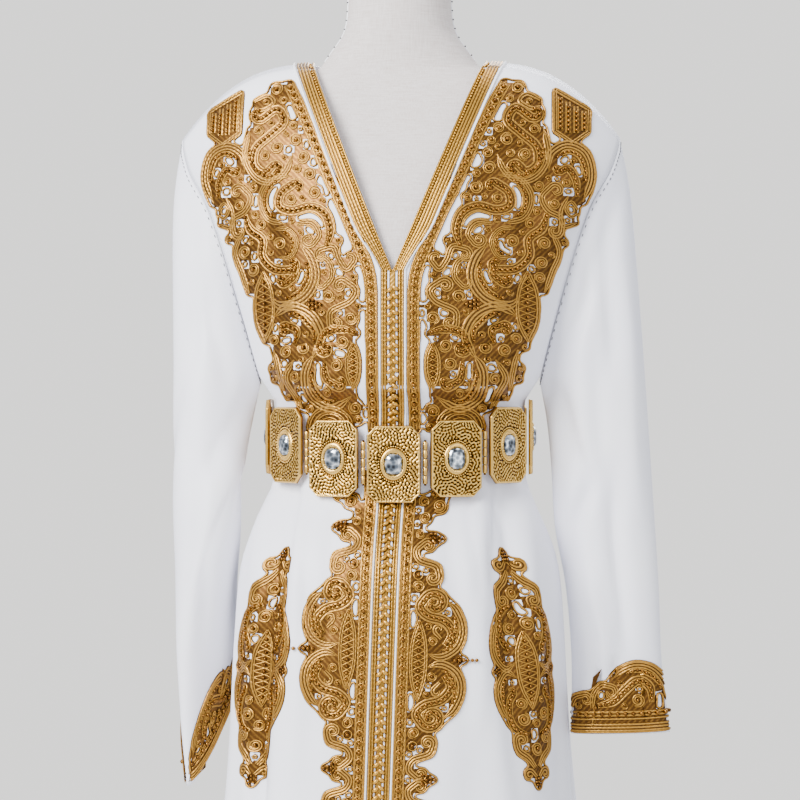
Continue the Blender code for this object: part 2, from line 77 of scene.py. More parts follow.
def column(table, name, at):
    # a column of a table read on a smooth curve through its rows
    keys = table["at"]
    values = table[name]
    at = min(keys[-1], max(keys[0], at))
    k = 0
    while k < len(keys) - 2 and keys[k + 1] <= at:
        k += 1
    span = keys[k + 1] - keys[k]
    part = (at - keys[k]) / span
    slopes = []
    for i in (k, k + 1):
        low, high = max(0, i - 1), min(len(keys) - 1, i + 1)
        slopes.append((values[high] - values[low]) / (keys[high] - keys[low]) * span)
    keep = 2 * part**3 - 3 * part**2 + 1
    lead = part**3 - 2 * part**2 + part
    trail = part**3 - part**2
    return keep * values[k] + lead * slopes[0] + (1 - keep) * values[k + 1] + trail * slopes[1]


def rgb(code):
    # sRGB hex to linear
    values = [int(code[k:k + 2], 16) / 255 for k in (1, 3, 5)]
    return tuple(v / 12.92 if v <= 0.04045 else ((v + 0.055) / 1.055) ** 2.4 for v in values) + (1.0,)


def addNode(tree, kind, settings, links=()):
    node = tree.nodes.new(kind)
    for name, value in settings.items():
        if isinstance(name, int) or name in node.inputs:
            node.inputs[name].default_value = value
        else:
            setattr(node, name, value)
    for name, socket in links:
        tree.links.new(socket, node.inputs[name])
    return node


def newMaterial(name, settings):
    made = bpy.data.materials.new(name)
    made.use_nodes = True
    shader = made.node_tree.nodes["Principled BSDF"]
    for key, value in settings.items():
        shader.inputs[key].default_value = value
    return made, made.node_tree, shader


def addRamp(tree, source, stops):
    ramp = addNode(tree, "ShaderNodeValToRGB", {}, [("Fac", source)])
    while len(ramp.color_ramp.elements) < len(stops):
        ramp.color_ramp.elements.new(0.5)
    for element, (at, code) in zip(ramp.color_ramp.elements, stops):
        element.position = at
        element.color = rgb(code)
    return ramp


def coloured(tree, shader, source, stops):
    ramp = addRamp(tree, source, stops)
    tree.links.new(ramp.outputs["Color"], shader.inputs["Base Color"])


def bumped(tree, shader, height, strength, distance):
    settings = {"Strength": strength, "Distance": distance}
    bump = addNode(tree, "ShaderNodeBump", settings, [("Height", height)])
    tree.links.new(bump.outputs["Normal"], shader.inputs["Normal"])


# materials

def crepeSatin():
    # white satin-faced crepe, woven: a soft broad sheen over a fine pebbled grain
    cloth = {"warp": 0.0009, "pebble": 0.0006}  # drawn about three times coarser than the real threads
    made, tree, shader = newMaterial("white crepe satin", {
        "Roughness": 0.46, "Specular IOR Level": 0.35,
        "Sheen Weight": 0.25, "Sheen Roughness": 0.35, "Sheen Tint": rgb("#e9ecff"),
    })
    place = addNode(tree, "ShaderNodeTexCoord", {})
    tone = addNode(tree, "ShaderNodeTexNoise", {"Scale": 9.0, "Detail": 2.0},
                   [("Vector", place.outputs["Object"])])
    coloured(tree, shader, tone.outputs["Fac"], [(0.3, "#eeeef7"), (0.7, "#f5f5fa")])
    warp = addNode(tree, "ShaderNodeTexWave", {
        "wave_type": "BANDS", "bands_direction": "X", "Scale": 1 / cloth["warp"] / 6.3, "Distortion": 1.5,
    }, [("Vector", place.outputs["UV"])])
    grain = addNode(tree, "ShaderNodeTexNoise", {"Scale": 1 / cloth["pebble"] / 3},
                    [("Vector", place.outputs["Object"])])
    both = addNode(tree, "ShaderNodeMath", {"operation": "ADD"})
    tree.links.new(warp.outputs["Fac"], both.inputs[0])
    tree.links.new(grain.outputs["Fac"], both.inputs[1])
    bumped(tree, shader, both.outputs[0], 0.12, 0.0003)
    return made


def goldThread(name, deep, middle, light, metallic, roughness):
    # metal-wrapped thread couched in rows: painted highlight on the cords' crowns, painted shade in the
    # grooves
    made, tree, shader = newMaterial(name, {"Metallic": metallic, "Roughness": roughness})
    place = addNode(tree, "ShaderNodeTexCoord", {})
    crown = addNode(tree, "ShaderNodeAttribute", {"attribute_name": "crown"})
    spark = addNode(tree, "ShaderNodeTexNoise", {"Scale": 420.0, "Detail": 2.0},
                    [("Vector", place.outputs["Object"])])
    mixed = addNode(tree, "ShaderNodeMath", {"operation": "MULTIPLY_ADD", "use_clamp": True})
    tree.links.new(spark.outputs["Fac"], mixed.inputs[0])
    mixed.inputs[1].default_value = 0.30
    tree.links.new(crown.outputs["Fac"], mixed.inputs[2])
    # the crown attribute picks the colour: dark brown painted shade in the grooves, bright painted
    # highlight on the crowns
    coloured(tree, shader, mixed.outputs[0], [(0.14, deep), (0.60, middle), (1.12, light)])
    wrap = addNode(tree, "ShaderNodeTexWave", {
        "wave_type": "BANDS", "bands_direction": "DIAGONAL", "Scale": 130.0, "Distortion": 1.0,
    }, [("Vector", place.outputs["UV"])])
    bumped(tree, shader, wrap.outputs["Fac"], 0.35, 0.0004)
    return made


def polishedBead():
    # electroplated glass bead: a small bright dot and a dark rim
    made, tree, shader = newMaterial("gold plated bead", {"Metallic": 0.9, "Roughness": 0.24})
    place = addNode(tree, "ShaderNodeTexCoord", {})
    tone = addNode(tree, "ShaderNodeTexNoise", {"Scale": 160.0}, [("Vector", place.outputs["Object"])])
    coloured(tree, shader, tone.outputs["Fac"], [(0.35, "#5c3a12"), (0.65, "#96682a")])
    return made


def castGold():
    # cast brass, pale gold plated: painted shade dark in the pits, painted highlight bright on the ridges
    made, tree, shader = newMaterial("cast gold with painted relief light", {"Metallic": 1.0, "Roughness": 0.3})
    place = addNode(tree, "ShaderNodeTexCoord", {})
    crown = addNode(tree, "ShaderNodeAttribute", {"attribute_name": "crown"})
    coloured(tree, shader, crown.outputs["Fac"], [(0.12, "#1d1003"), (0.45, "#86591a"), (0.90, "#e2b860")])
    grit = addNode(tree, "ShaderNodeTexNoise", {"Scale": 900.0}, [("Vector", place.outputs["Object"])])
    bumped(tree, shader, grit.outputs["Fac"], 0.15, 0.0002)
    return made


def cutCrystal():
    # foil-backed lead crystal: grey, with bright and dark patches as painted facet reflections
    made, tree, shader = newMaterial("foiled crystal", {
        "Metallic": 0.9, "Roughness": 0.04, "Coat Weight": 1.0, "Coat Roughness": 0.02,
    })
    place = addNode(tree, "ShaderNodeTexCoord", {})
    # small patches from near black to white: painted reflections of facets
    paintedFacetReflections = addNode(tree, "ShaderNodeTexVoronoi", {"Scale": 190.0}, [("Vector", place.outputs["Object"])])
    coloured(tree, shader, paintedFacetReflections.outputs["Distance"],
             [(0.20, "#1d2227"), (0.50, "#737d86"), (0.85, "#eef2f5")])
    return made


def plainLinen():
    # grey-beige linen, plain woven and stretched: slubby threads 1.1 mm apart, drawn coarse enough to show
    made, tree, shader = newMaterial("form linen", {"Roughness": 0.9, "Sheen Weight": 0.15})
    place = addNode(tree, "ShaderNodeTexCoord", {})
    slub = addNode(tree, "ShaderNodeMapping", {"Scale": (900.0, 900.0, 60.0)},
                   [("Vector", place.outputs["Object"])])
    weft = addNode(tree, "ShaderNodeTexNoise", {"Scale": 1.0, "Detail": 3.0},
                   [("Vector", slub.outputs["Vector"])])
    flat = addNode(tree, "ShaderNodeMapping", {"Scale": (60.0, 60.0, 900.0)},
                   [("Vector", place.outputs["Object"])])
    warp = addNode(tree, "ShaderNodeTexNoise", {"Scale": 1.0, "Detail": 3.0},
                   [("Vector", flat.outputs["Vector"])])
    both = addNode(tree, "ShaderNodeMath", {"operation": "ADD"})
    tree.links.new(weft.outputs["Fac"], both.inputs[0])
    tree.links.new(warp.outputs["Fac"], both.inputs[1])
    half = addNode(tree, "ShaderNodeMath", {"operation": "MULTIPLY", 1: 0.5}, [(0, both.outputs[0])])
    coloured(tree, shader, half.outputs[0], [(0.3, "#bfb3ac"), (0.5, "#cfc6c1"), (0.7, "#dcd5d1")])
    bumped(tree, shader, both.outputs[0], 0.25, 0.0005)
    return made


def plainFinish(name, colour, roughness, speck):
    # a painted, varnished or spun surface with a faint mottle
    made, tree, shader = newMaterial(name, {"Roughness": roughness})
    place = addNode(tree, "ShaderNodeTexCoord", {})
    tone = addNode(tree, "ShaderNodeTexNoise", {"Scale": speck}, [("Vector", place.outputs["Object"])])
    coloured(tree, shader, tone.outputs["Fac"], [(0.2, colour[0]), (0.8, colour[1])])
    return made


finishes = {
    "cloth": crepeSatin(),
    # each gold thread's colours run from painted groove shade through its own gold to painted crown
    # highlight
    "thread": goldThread("couched gold thread", "#160a02", "#5c3a10", "#b98838", 0.82, 0.36),
    "braid": goldThread("corded gold braid", "#1e0f03", "#744c12", "#cb9a40", 0.84, 0.32),
    "bead": polishedBead(),
    "plate": castGold(),
    "crystal": cutCrystal(),
    "linen": plainLinen(),
    "piping": plainFinish("white cotton piping", ("#e9e9ec", "#fbfbfd"), 0.7, 300.0),
    "stitch": plainFinish("black sewing thread", ("#1d1d22", "#3a3a40"), 0.8, 500.0),
    "beech": plainFinish("varnished beech", ("#a97c4e", "#c79c6b"), 0.4, 40.0),
    "lacquer": plainFinish("white lacquer", ("#dcdcda", "#e8e8e6"), 0.3, 30.0),
    "floor": plainFinish("pale studio floor", ("#d6d6d5", "#dadad9"), 0.9, 2.0),
}
print("materials made")


# the kaftan's shape: the same sections as its solids

hem, underarm, waist = 0.022, 1.166, 1.106
vPoint = 1.277
neckX, neckZ = 0.091, 1.503
tipX, tipZ = 0.232, 1.424
wall = 0.0016
seam = 0.0002

body = {
    "at": [hem, 0.300, 0.550, 0.740, 0.900, 0.970, 1.010, 1.056, waist, 1.151, underarm, 1.210],
    "half": [0.234, 0.216, 0.194, 0.178, 0.173, 0.167, 0.154, 0.1325, 0.1305, 0.1335, 0.147, 0.150],
    "front": [0.192, 0.178, 0.162, 0.150, 0.143, 0.136, 0.122, 0.1000, 0.0980, 0.1010, 0.121, 0.127],
    "back": [0.205, 0.190, 0.172, 0.158, 0.148, 0.140, 0.126, 0.1010, 0.0990, 0.1010, 0.110, 0.112],
    "square": [2.5, 2.5, 2.5, 2.5, 2.4, 2.3, 2.2, 2.0, 2.0, 2.0, 2.0, 2.0],
}
armhole = {
    "at": [0.00, 0.28, 0.60, 0.80, 0.95, 1.00],
    "half": [0.147, 0.171, 0.199, 0.221, 0.231, tipX],
}
# soft folds round the skirt: turn and spread in degrees, depth, and the height where each one starts
skirtFolds = [
    {"turn": -168, "spread": 9, "depth": 0.010, "top": 0.98},
    {"turn": -146, "spread": 8, "depth": -0.012, "top": 1.00},
    {"turn": -124, "spread": 9, "depth": 0.010, "top": 0.96},
    {"turn": -100, "spread": 8, "depth": -0.010, "top": 0.98},
    {"turn": -74, "spread": 9, "depth": 0.006, "top": 1.00},
    {"turn": -47, "spread": 6, "depth": -0.011, "top": 1.02},
    {"turn": -31, "spread": 8, "depth": 0.006, "top": 0.94},
    {"turn": 27, "spread": 7, "depth": -0.004, "top": 1.00},
    {"turn": 44, "spread": 9, "depth": 0.006, "top": 1.00},
    {"turn": 76, "spread": 8, "depth": -0.008, "top": 0.98},
    {"turn": 97, "spread": 9, "depth": 0.009, "top": 0.97},
    {"turn": 118, "spread": 8, "depth": -0.011, "top": 1.00},
    {"turn": 139, "spread": 9, "depth": 0.010, "top": 0.96},
    {"turn": 160, "spread": 8, "depth": -0.011, "top": 0.99},
    {"turn": 178, "spread": 8, "depth": 0.008, "top": 1.00},
]
foldFlare = 1.3
# both long edges of each hanging sleeve, and half the space between its layers
sleeveRight = {
    "at": [0.00, 0.12, 0.28, 0.45, 0.62, 0.78, 0.90, 1.00],
    "overX": [0.232, 0.2435, 0.2520, 0.2600, 0.2680, 0.2750, 0.2785, 0.2870],
    "overY": [0.0] * 8,
    "overZ": [1.424, 1.366, 1.285, 1.180, 1.060, 0.950, 0.865, 0.793],
    "underX": [0.150, 0.157, 0.161, 0.165, 0.176, 0.182, 0.183, 0.182],
    "underY": [0.000, 0.004, 0.008, 0.010, 0.006, 0.002, 0.000, 0.000],
    "underZ": [1.166, 1.125, 1.075, 1.010, 0.950, 0.885, 0.836, 0.791],
    "half": [0.034, 0.036, 0.036, 0.034, 0.030, 0.026, 0.022, 0.018],
}
sleeveLeft = {
    "at": [0.00, 0.12, 0.24, 0.38, 0.52, 0.66, 0.80, 0.91, 1.00],
    "overX": [-0.232, -0.241, -0.243, -0.239, -0.227, -0.206, -0.190, -0.185, -0.183],
    "overY": [0.000, 0.004, 0.012, 0.028, 0.046, 0.055, 0.050, 0.040, 0.028],
    "overZ": [1.424, 1.366, 1.295, 1.210, 1.120, 1.025, 0.945, 0.885, 0.832],
    "underX": [-0.150, -0.156, -0.162, -0.170, -0.188, -0.209, -0.2245, -0.227, -0.2236],
    "underY": [0.000, -0.006, -0.016, -0.034, -0.048, -0.052, -0.048, -0.040, -0.030],
    "underZ": [1.166, 1.133, 1.098, 1.068, 1.030, 0.972, 0.890, 0.812, 0.735],
    "half": [0.034, 0.034, 0.032, 0.033, 0.038, 0.035, 0.026, 0.018, 0.013],
}
# dents of a sleeve's layers: around 90 degrees is the middle of the front layer
sleeveDents = {
    "right": [
        {"share": 0.26, "reach": 0.15, "around": 140, "spread": 20, "depth": -0.015},
        {"share": 0.42, "reach": 0.26, "around": 84, "spread": 14, "depth": -0.005},
        {"share": 0.30, "reach": 0.16, "around": 232, "spread": 20, "depth": -0.010},
    ],
    "left": [
        {"share": 0.30, "reach": 0.14, "around": 132, "spread": 18, "depth": -0.008},
        {"share": 0.50, "reach": 0.22, "around": 70, "spread": 18, "depth": -0.004},
        {"share": 0.40, "reach": 0.16, "around": 240, "spread": 22, "depth": -0.008},
    ],
}


def shoulderHeight(x):
    return neckZ - (neckZ - tipZ) * max(0.0, (abs(x) - neckX) / (tipX - neckX)) ** 2.5


def dipped(x, z):
    near = exp(-(((z - waist + 0.027) / 0.075) ** 2))
    return z + 0.027 * near * max(0.0, 1 - (x / body["half"][-1]) ** 2)


def foldDepth(turn, z):
    total = 0.0
    for fold in skirtFolds:
        away = (turn * 180 / pi - fold["turn"] + 180) % 360 - 180
        if abs(away) < 3 * fold["spread"]:
            grown = smooth((fold["top"] - z) / 0.35) * (1 + foldFlare * smooth((0.75 - z) / 0.7))
            total += fold["depth"] * grown * exp(-((away / fold["spread"]) ** 2))
    return total


def centreDrift(z):
    # the centre front swings a little to the wearer's right by the hem
    return -0.036 * max(0.0, underarm - z) / underarm


def ringPoint(turn, z):
    # below the underarm: turn 0 is the centre front, pi the centre back
    power = 2 / column(body, "square", z)
    x = column(body, "half", z) * abs(sin(turn)) ** power
    side = 1 if sin(turn) >= 0 else -1
    if cos(turn) >= 0:
        y = -column(body, "front", dipped(x, z)) * abs(cos(turn)) ** power
    else:
        y = column(body, "back", z) * abs(cos(turn)) ** power
    away = Vector((side * x, y, 0)).normalized()
    return Vector((side * x, y, z)) + away * foldDepth(turn, z)


def chestPoint(x, share, side, front):
    # above the underarm: share 0 is the underarm level, 1 the shoulder line
    top = shoulderHeight(x)
    if not front and x < neckX:
        top -= 0.010 * (1 - (x / neckX) ** 2)
    z = underarm + (top - underarm) * share
    edge = 0.034 * sin(pi * min(1.0, share)) ** 0.8
    across = min(1.0, x / column(armhole, "half", share))
    flat = 0.5 + 0.25 * smooth(share * 2)
    fall = max(0.0, 1 - share**2.4) ** (1 / 2.4)
    if front:
        full = column(body, "front", dipped(x, underarm)) + 0.0045 * sin(pi * share)
        return Vector((side * x, -(edge + (full * fall - edge) * max(0.0, 1 - across**2) ** flat), z))
    y = edge + (column(body, "back", underarm) * fall - edge) * max(0.0, 1 - across**2) ** flat
    y += 0.066 * sqrt(max(0.0, 1 - (x / neckX) ** 2)) * share**4
    return Vector((side * x, y, z))


def neckEdge(share):
    z = underarm + (neckZ - underarm) * share
    return max(0.0, (z - vPoint) / (neckZ - vPoint)) * neckX


def frontPoint(side, across, up):
    # across runs 0 to 1 from the centre to the side seam, up 0 to 1 from the hem to the shoulder
    lower = 0.72
    if up < lower:
        z = hem + (underarm - hem) * up / lower
        point = ringPoint(side * across * pi / 2, z)
        point.x = side * max(seam, side * point.x) + centreDrift(z) * cos(across * pi / 2) ** 2
    else:
        share = (up - lower) / (1 - lower)
        inner, outer = neckEdge(share), column(armhole, "half", share)
        bend = sin(across * pi / 2) * (1 - smooth(share / 0.4)) + across * smooth(share / 0.4)
        point = chestPoint(inner + (outer - inner) * bend, share, side, True)
        point.x = side * max(seam, side * point.x)
    point.y = min(-seam, point.y)
    return point


def backPoint(side, across, up):
    lower = 0.72
    if up < lower:
        z = hem + (underarm - hem) * up / lower
        point = ringPoint(side * (pi - across * pi / 2), z)
    else:
        share = (up - lower) / (1 - lower)
        bend = sin(across * pi / 2) * (1 - smooth(share / 0.4)) + across * smooth(share / 0.4)
        point = chestPoint(column(armhole, "half", share) * bend, share, side, False)
    point.x = side * max(seam, side * point.x)
    point.y = max(seam, point.y)
    return point


def sleevePoint(side, around, share):
    table = sleeveRight if side > 0 else sleeveLeft

    def oval(at):
        over = Vector([column(table, name, at) for name in ("overX", "overY", "overZ")])
        under = Vector([column(table, name, at) for name in ("underX", "underY", "underZ")])
        middle, reach = (over + under) / 2, (over - under) / 2
        across = reach.cross(Vector((0, 0, 1))).normalized() * side
        return middle, middle + reach * cos(around) + across * column(table, "half", at) * sin(around)

    upward = (1 + cos(around)) / 2
    x = column(armhole, "half", upward)
    y = 0.034 * sin(pi * upward) ** 0.8
    sewn = Vector((side * (x + 0.0018), -y if around < pi else y,
                   underarm + (shoulderHeight(x) - underarm) * upward))
    keep = 1 - smooth(share / 0.34)
    middle, place = oval(share)
    place = place + (sewn - oval(0)[1]) * keep
    dent = 0.0
    for row in sleeveDents["right" if side > 0 else "left"]:
        along = exp(-(((share - row["share"]) / row["reach"]) ** 2))
        dent += row["depth"] * along * exp(-(((around * 180 / pi - row["around"]) / row["spread"]) ** 2))
    return place + (place - middle).normalized() * dent


# making pieces

def addPiece(name, shape, finish, nodes=(), flatShaded=False):
    name = name.replace(" ", "_")
    mesh = bpy.data.meshes.new(name)
    shape.to_mesh(mesh)
    shape.free()
    made = bpy.data.objects.new(name, mesh)
    bpy.context.scene.collection.objects.link(made)
    mesh.materials.append(finishes[finish])
    if not flatShaded:
        mesh.shade_smooth()
    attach(made, "root")
    if nodes:
        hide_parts(*nodes)
    return made


def newShape():
    shape = bmesh.new()
    shape.loops.layers.uv.new("UVMap")
    shape.verts.layers.float.new("crown")
    return shape


def laidGrid(shape, columns, rows, place, crown=None, size=(1.0, 1.0), wrap=False, outward=None):
    # a grid of faces put in place by place(across, up), both running 0 to 1, with UVs in metres
    layer, uv = shape.verts.layers.float["crown"], shape.loops.layers.uv.active
    grid = []
    for j in range(rows + 1):
        grid.append([shape.verts.new(place(i / columns, j / rows)) for i in range(columns + 1)])
        if crown:
            for i, vert in enumerate(grid[-1]):
                vert[layer] = crown(i / columns, j / rows)
    turned = False
    if outward:
        here = grid[rows // 2][columns // 2].co
        beside, above = grid[rows // 2][columns // 2 - 1].co, grid[rows // 2 - 1][columns // 2].co
        turned = (beside - here).cross(above - here).dot(outward) < 0
    for j in range(rows):
        for i in range(columns):
            corners = ((i, j), (i + 1, j), (i + 1, j + 1), (i, j + 1))
            if turned:
                corners = corners[::-1]
            face = shape.faces.new([grid[v][u] for u, v in corners])
            for loop, (u, v) in zip(face.loops, corners):
                loop[uv].uv = (u / columns * size[0], v / rows * size[1])
    if wrap:
        bmesh.ops.remove_doubles(shape, verts=shape.verts, dist=1e-6)
    return [vert for row in grid for vert in row if vert.is_valid]


def turnOutward(shape, inside):
    shape.normal_update()
    lean = 0.0
    for face in shape.faces:
        lean += (face.calc_center_median() - inside).dot(face.normal) * face.calc_area()
    if lean < 0:
        bmesh.ops.reverse_faces(shape, faces=shape.faces)
    shape.normal_update()


# the cloth pieces

# creases pressed into a panel: both ends (x, z), half width and depth, in mm
creases = {
    "frontLeft": [
        ((-118, 1190), (-60, 1215), 9, -3.0), ((-124, 1172), (-58, 1158), 8, 3.5),
        ((-128, 1176), (-92, 1120), 7, -3.5),
        ((-112, 1060), (-150, 640), 12, -6.0), ((-92, 1055), (-100, 780), 9, 3.5),
        ((-134, 1050), (-178, 420), 12, 4.0),
        ((-150, 900), (-196, 90), 13, -5.0), ((-60, 1040), (-66, 900), 8, -2.0),
        ((-96, 700), (-120, 60), 16, 4.0),
        ((-74, 520), (-88, 40), 13, -4.0), ((-104, 1062), (-112, 960), 4, -2.2),
        ((-86, 1060), (-92, 900), 5, -2.4),
        ((-118, 1062), (-132, 930), 5, -2.6), ((-128, 1196), (-100, 1170), 5, -3.0),
        ((-165, 1395), (-120, 1300), 11, -2.5), ((-140, 1255), (-96, 1196), 10, -3.0),
    ],
    "frontRight": [
        ((122, 1186), (64, 1212), 9, -3.0), ((126, 1170), (66, 1154), 8, 3.5),
        ((130, 1178), (96, 1124), 7, -3.0),
        ((108, 1060), (134, 700), 13, -4.5), ((84, 1050), (88, 820), 9, 3.0),
        ((136, 1052), (176, 520), 12, 4.5),
        ((152, 940), (190, 120), 12, -5.0), ((58, 1040), (62, 930), 8, -2.0),
        ((100, 640), (128, 50), 15, 4.5),
        ((80, 560), (94, 60), 12, -4.5), ((100, 1062), (104, 950), 4, -2.2),
        ((78, 1060), (84, 930), 5, -2.4),
        ((116, 1062), (128, 900), 5, -2.6), ((126, 1192), (102, 1172), 5, -3.0),
        ((172, 1392), (126, 1308), 11, -2.5), ((138, 1262), (98, 1204), 10, -3.0),
    ],
    "backLeft": [
        ((-116, 1188), (-50, 1204), 9, -3.0), ((-122, 1168), (-70, 1150), 8, 3.0),
        ((-66, 1050), (-84, 420), 12, -6.0),
        ((-30, 1050), (-34, 640), 10, 3.5), ((-104, 1050), (-140, 560), 11, 4.0),
        ((-128, 960), (-176, 80), 13, -5.0),
        ((-20, 760), (-28, 60), 13, -4.0), ((-150, 1380), (-90, 1250), 12, -2.5),
    ],
    "backRight": [
        ((114, 1186), (52, 1200), 9, -3.0), ((120, 1166), (66, 1148), 8, 3.0),
        ((62, 1050), (78, 480), 12, -5.5),
        ((26, 1050), (30, 580), 10, 3.0), ((100, 1052), (134, 620), 11, 4.5),
        ((130, 980), (180, 100), 13, -5.0),
        ((22, 700), (26, 50), 13, -4.5), ((146, 1384), (92, 1262), 12, -2.5),
    ],
    "sleeveRightFront": [
        ((222, 1375), (226, 1185), 11, -5.0), ((150, 1170), (196, 1055), 12, -6.0),
        ((196, 1055), (176, 960), 10, -4.0),
        ((206, 1300), (178, 1190), 10, -3.0), ((238, 1280), (252, 1050), 10, 3.0),
        ((228, 1080), (240, 880), 9, -3.0),
        ((205, 960), (222, 850), 7, 2.5), ((226, 870), (230, 845), 5, -2.5),
        ((206, 862), (210, 838), 5, -2.0),
    ],
    "sleeveRightBack": [
        ((216, 1370), (222, 1160), 12, -5.0), ((156, 1150), (200, 1010), 12, -5.0),
        ((240, 1240), (250, 1000), 10, 3.0),
        ((230, 1060), (214, 880), 10, -3.0),
    ],
    "sleeveLeftFront": [
        ((-218, 1380), (-224, 1190), 11, -4.0), ((-158, 1160), (-198, 1060), 11, -5.0),
        ((-205, 1270), (-180, 1150), 10, -3.0),
        ((-214, 1080), (-206, 900), 9, -3.0), ((-196, 1030), (-214, 880), 8, 2.5),
    ],
    "sleeveLeftBack": [
        ((-216, 1370), (-222, 1150), 12, -5.0), ((-162, 1140), (-200, 1000), 12, -4.0),
        ((-210, 1060), (-206, 880), 9, -3.0),
    ],
}


def creaseDepth(rows, point):
    total = 0.0
    x, z = point.x * 1000, point.z * 1000
    for (x0, z0), (x1, z1), spread, depth in rows:
        dx, dz = x1 - x0, z1 - z0
        part = ((x - x0) * dx + (z - z0) * dz) / (dx * dx + dz * dz)
        if -0.25 < part < 1.25:
            away = ((x - x0) * dz - (z - z0) * dx) / sqrt(dx * dx + dz * dz)
            away += 2.5 * sin(part * 7 + x0)
            if abs(away) < 3 * spread:
                ends = smooth((part + 0.2) / 0.45) * smooth((1.2 - part) / 0.45)
                total += 1.5 * depth * ends * exp(-((away / spread) ** 2))
    return total / 1000


def ripple(point):
    # the slight unevenness of hanging cloth
    soft = noise.noise(Vector((point.x * 14, point.y * 14, point.z * 4)))
    fine = noise.noise(Vector((point.x * 42, point.y * 42, point.z * 16 + 7)))
    return 0.0016 * soft + 0.0004 * fine


# where the cloth lies close to the form, how far up and down that goes, and how deep a crease may be there
waistFit = {"middle": 1.138, "half": 0.045, "fade": 0.04, "deepest": 0.0004, "elsewhere": 0.02}


def makeBodyPanel(name, node, surface, side):
    columns, rows = 44, 116
    shape = newShape()
    axis = Vector((0, 0, 0))

    def place(across, up):
        point = surface(side, across, up)
        axis.z = point.z
        away = (point - axis).normalized()
        edge = smooth(across / 0.06) * smooth((1 - across) / 0.05) * smooth((1 - up) / 0.05)
        clear = smooth((abs(point.z - waistFit["middle"]) - waistFit["half"]) / waistFit["fade"])
        deepest = -waistFit["deepest"] - waistFit["elsewhere"] * clear
        return point + away * max(deepest, creaseDepth(creases[name], point) + ripple(point)) * edge

    laidGrid(shape, columns, rows, place, size=(0.35, 1.5))
    turnOutward(shape, Vector((0, 0, 0.8)))
    made = addPiece("cloth " + node, shape, "cloth", [node])
    cloth = made.modifiers.new("cloth wall", "SOLIDIFY")
    cloth.thickness, cloth.offset = wall, 1
    return made


def makeSleeve(name, side):
    columns, rows = 60, 84
    shape = newShape()

    def place(across, up):
        around = across * 2 * pi
        point = sleevePoint(side, around, up)
        middle = (sleevePoint(side, 0, up) + sleevePoint(side, pi, up)) / 2
        edge = smooth(up / 0.1) * abs(sin(around)) ** 0.5
        folds = creases[name + ("Front" if around < pi else "Back")]
        out = 1.5 * creaseDepth(folds, point) + 1.6 * ripple(point)
        return point + (point - middle).normalized() * out * edge

    laidGrid(shape, columns, rows, place, size=(0.5, 0.62), wrap=True)
    bmesh.ops.recalc_face_normals(shape, faces=shape.faces)
    middle = (sleevePoint(side, 0, 0.5) + sleevePoint(side, pi, 0.5)) / 2
    turnOutward(shape, middle)
    node = "sleeve_" + ("right" if side > 0 else "left")
    made = addPiece("cloth " + node, shape, "cloth", [node])
    cloth = made.modifiers.new("cloth wall", "SOLIDIFY")
    cloth.thickness, cloth.offset = wall, -1
    return made


def treeOf(*items):
    # the surfaces of these pieces, to lay trims on
    shape = bmesh.new()
    for item in items:
        shape.from_mesh(item.data)
    tree = BVHTree.FromBMesh(shape)
    shape.free()
    return tree


# the cloth pieces, and the surfaces that trims are laid on
clothPieces = {}
for name, node, surface, side in (
    ("frontLeft", "front_left", frontPoint, -1), ("frontRight", "front_right", frontPoint, 1),
    ("backLeft", "back_left", backPoint, -1), ("backRight", "back_right", backPoint, 1),
):
    clothPieces[name] = makeBodyPanel(name, node, surface, side)
for name, side in (("sleeveLeft", -1), ("sleeveRight", 1)):
    clothPieces[name] = makeSleeve(name, side)
trees = {
    "front": treeOf(clothPieces["frontLeft"], clothPieces["frontRight"]),
    "back": treeOf(clothPieces["backLeft"], clothPieces["backRight"]),
    "sleeveLeft": treeOf(clothPieces["sleeveLeft"]),
    "sleeveRight": treeOf(clothPieces["sleeveRight"]),
}
print("cloth laid:", [round(sum(face.area for face in item.data.polygons), 3)
                      for item in clothPieces.values()])


# laying trims on cloth

def projector(tree, origin, right, up, lift):
    # place(x, z) drops a point of a flat pattern, in mm, on the cloth and gives its place and normal
    right, up = Vector(right).normalized(), Vector(up).normalized()
    look = up.cross(right).normalized()
    start = Vector(origin)

    def place(x, z):
        above = start + right * (x / 1000) + up * (z / 1000 + 0.000013) - look * 0.5
        found, normal, index, far = tree.ray_cast(above, look)
        if found is None or far > 0.62:
            found, normal, index, far = tree.find_nearest(above + look * 0.36)
        if normal.dot(look) > 0:
            normal = -normal
        if normal.dot(look) > -0.35:
            normal = (normal - look).normalized()
        return found + normal * lift, normal

    return place


def rounded(points, step):
    # a smooth path through given points, with samples a step apart
    points = [Vector(point) for point in points]
    path = []
    for k in range(len(points) - 1):
        before = points[k - 1] if k else points[0] * 2 - points[1]
        after = points[k + 2] if k + 2 < len(points) else points[-1] * 2 - points[-2]
        count = max(2, round((points[k + 1] - points[k]).length / step))
        for s in range(count):
            t = s / count
            path.append(0.5 * (
                2 * points[k] + (points[k + 1] - before) * t
                + (2 * before - 5 * points[k] + 4 * points[k + 1] - after) * t * t
                + (3 * points[k] - before - 3 * points[k + 1] + after) * t**3
            ))
    path.append(points[-1])
    return path


def curl(path, turns, radius, side):
    # winds a spiral on to the path's end, turning left where side is 1
    ahead = (path[-1] - path[-2]).normalized()
    left = Vector((-ahead.y, ahead.x)) * side
    centre = path[-1] + left * radius
    count = max(6, round(turns * 17))
    wound = []
    for k in range(1, count + 1):
        angle = 2 * pi * turns * k / count
        shrink = radius * (1 - 0.72 * k / count)
        spoke = -left * cos(angle) + ahead * sin(angle)
        wound.append(centre + spoke * shrink)
    return path + wound


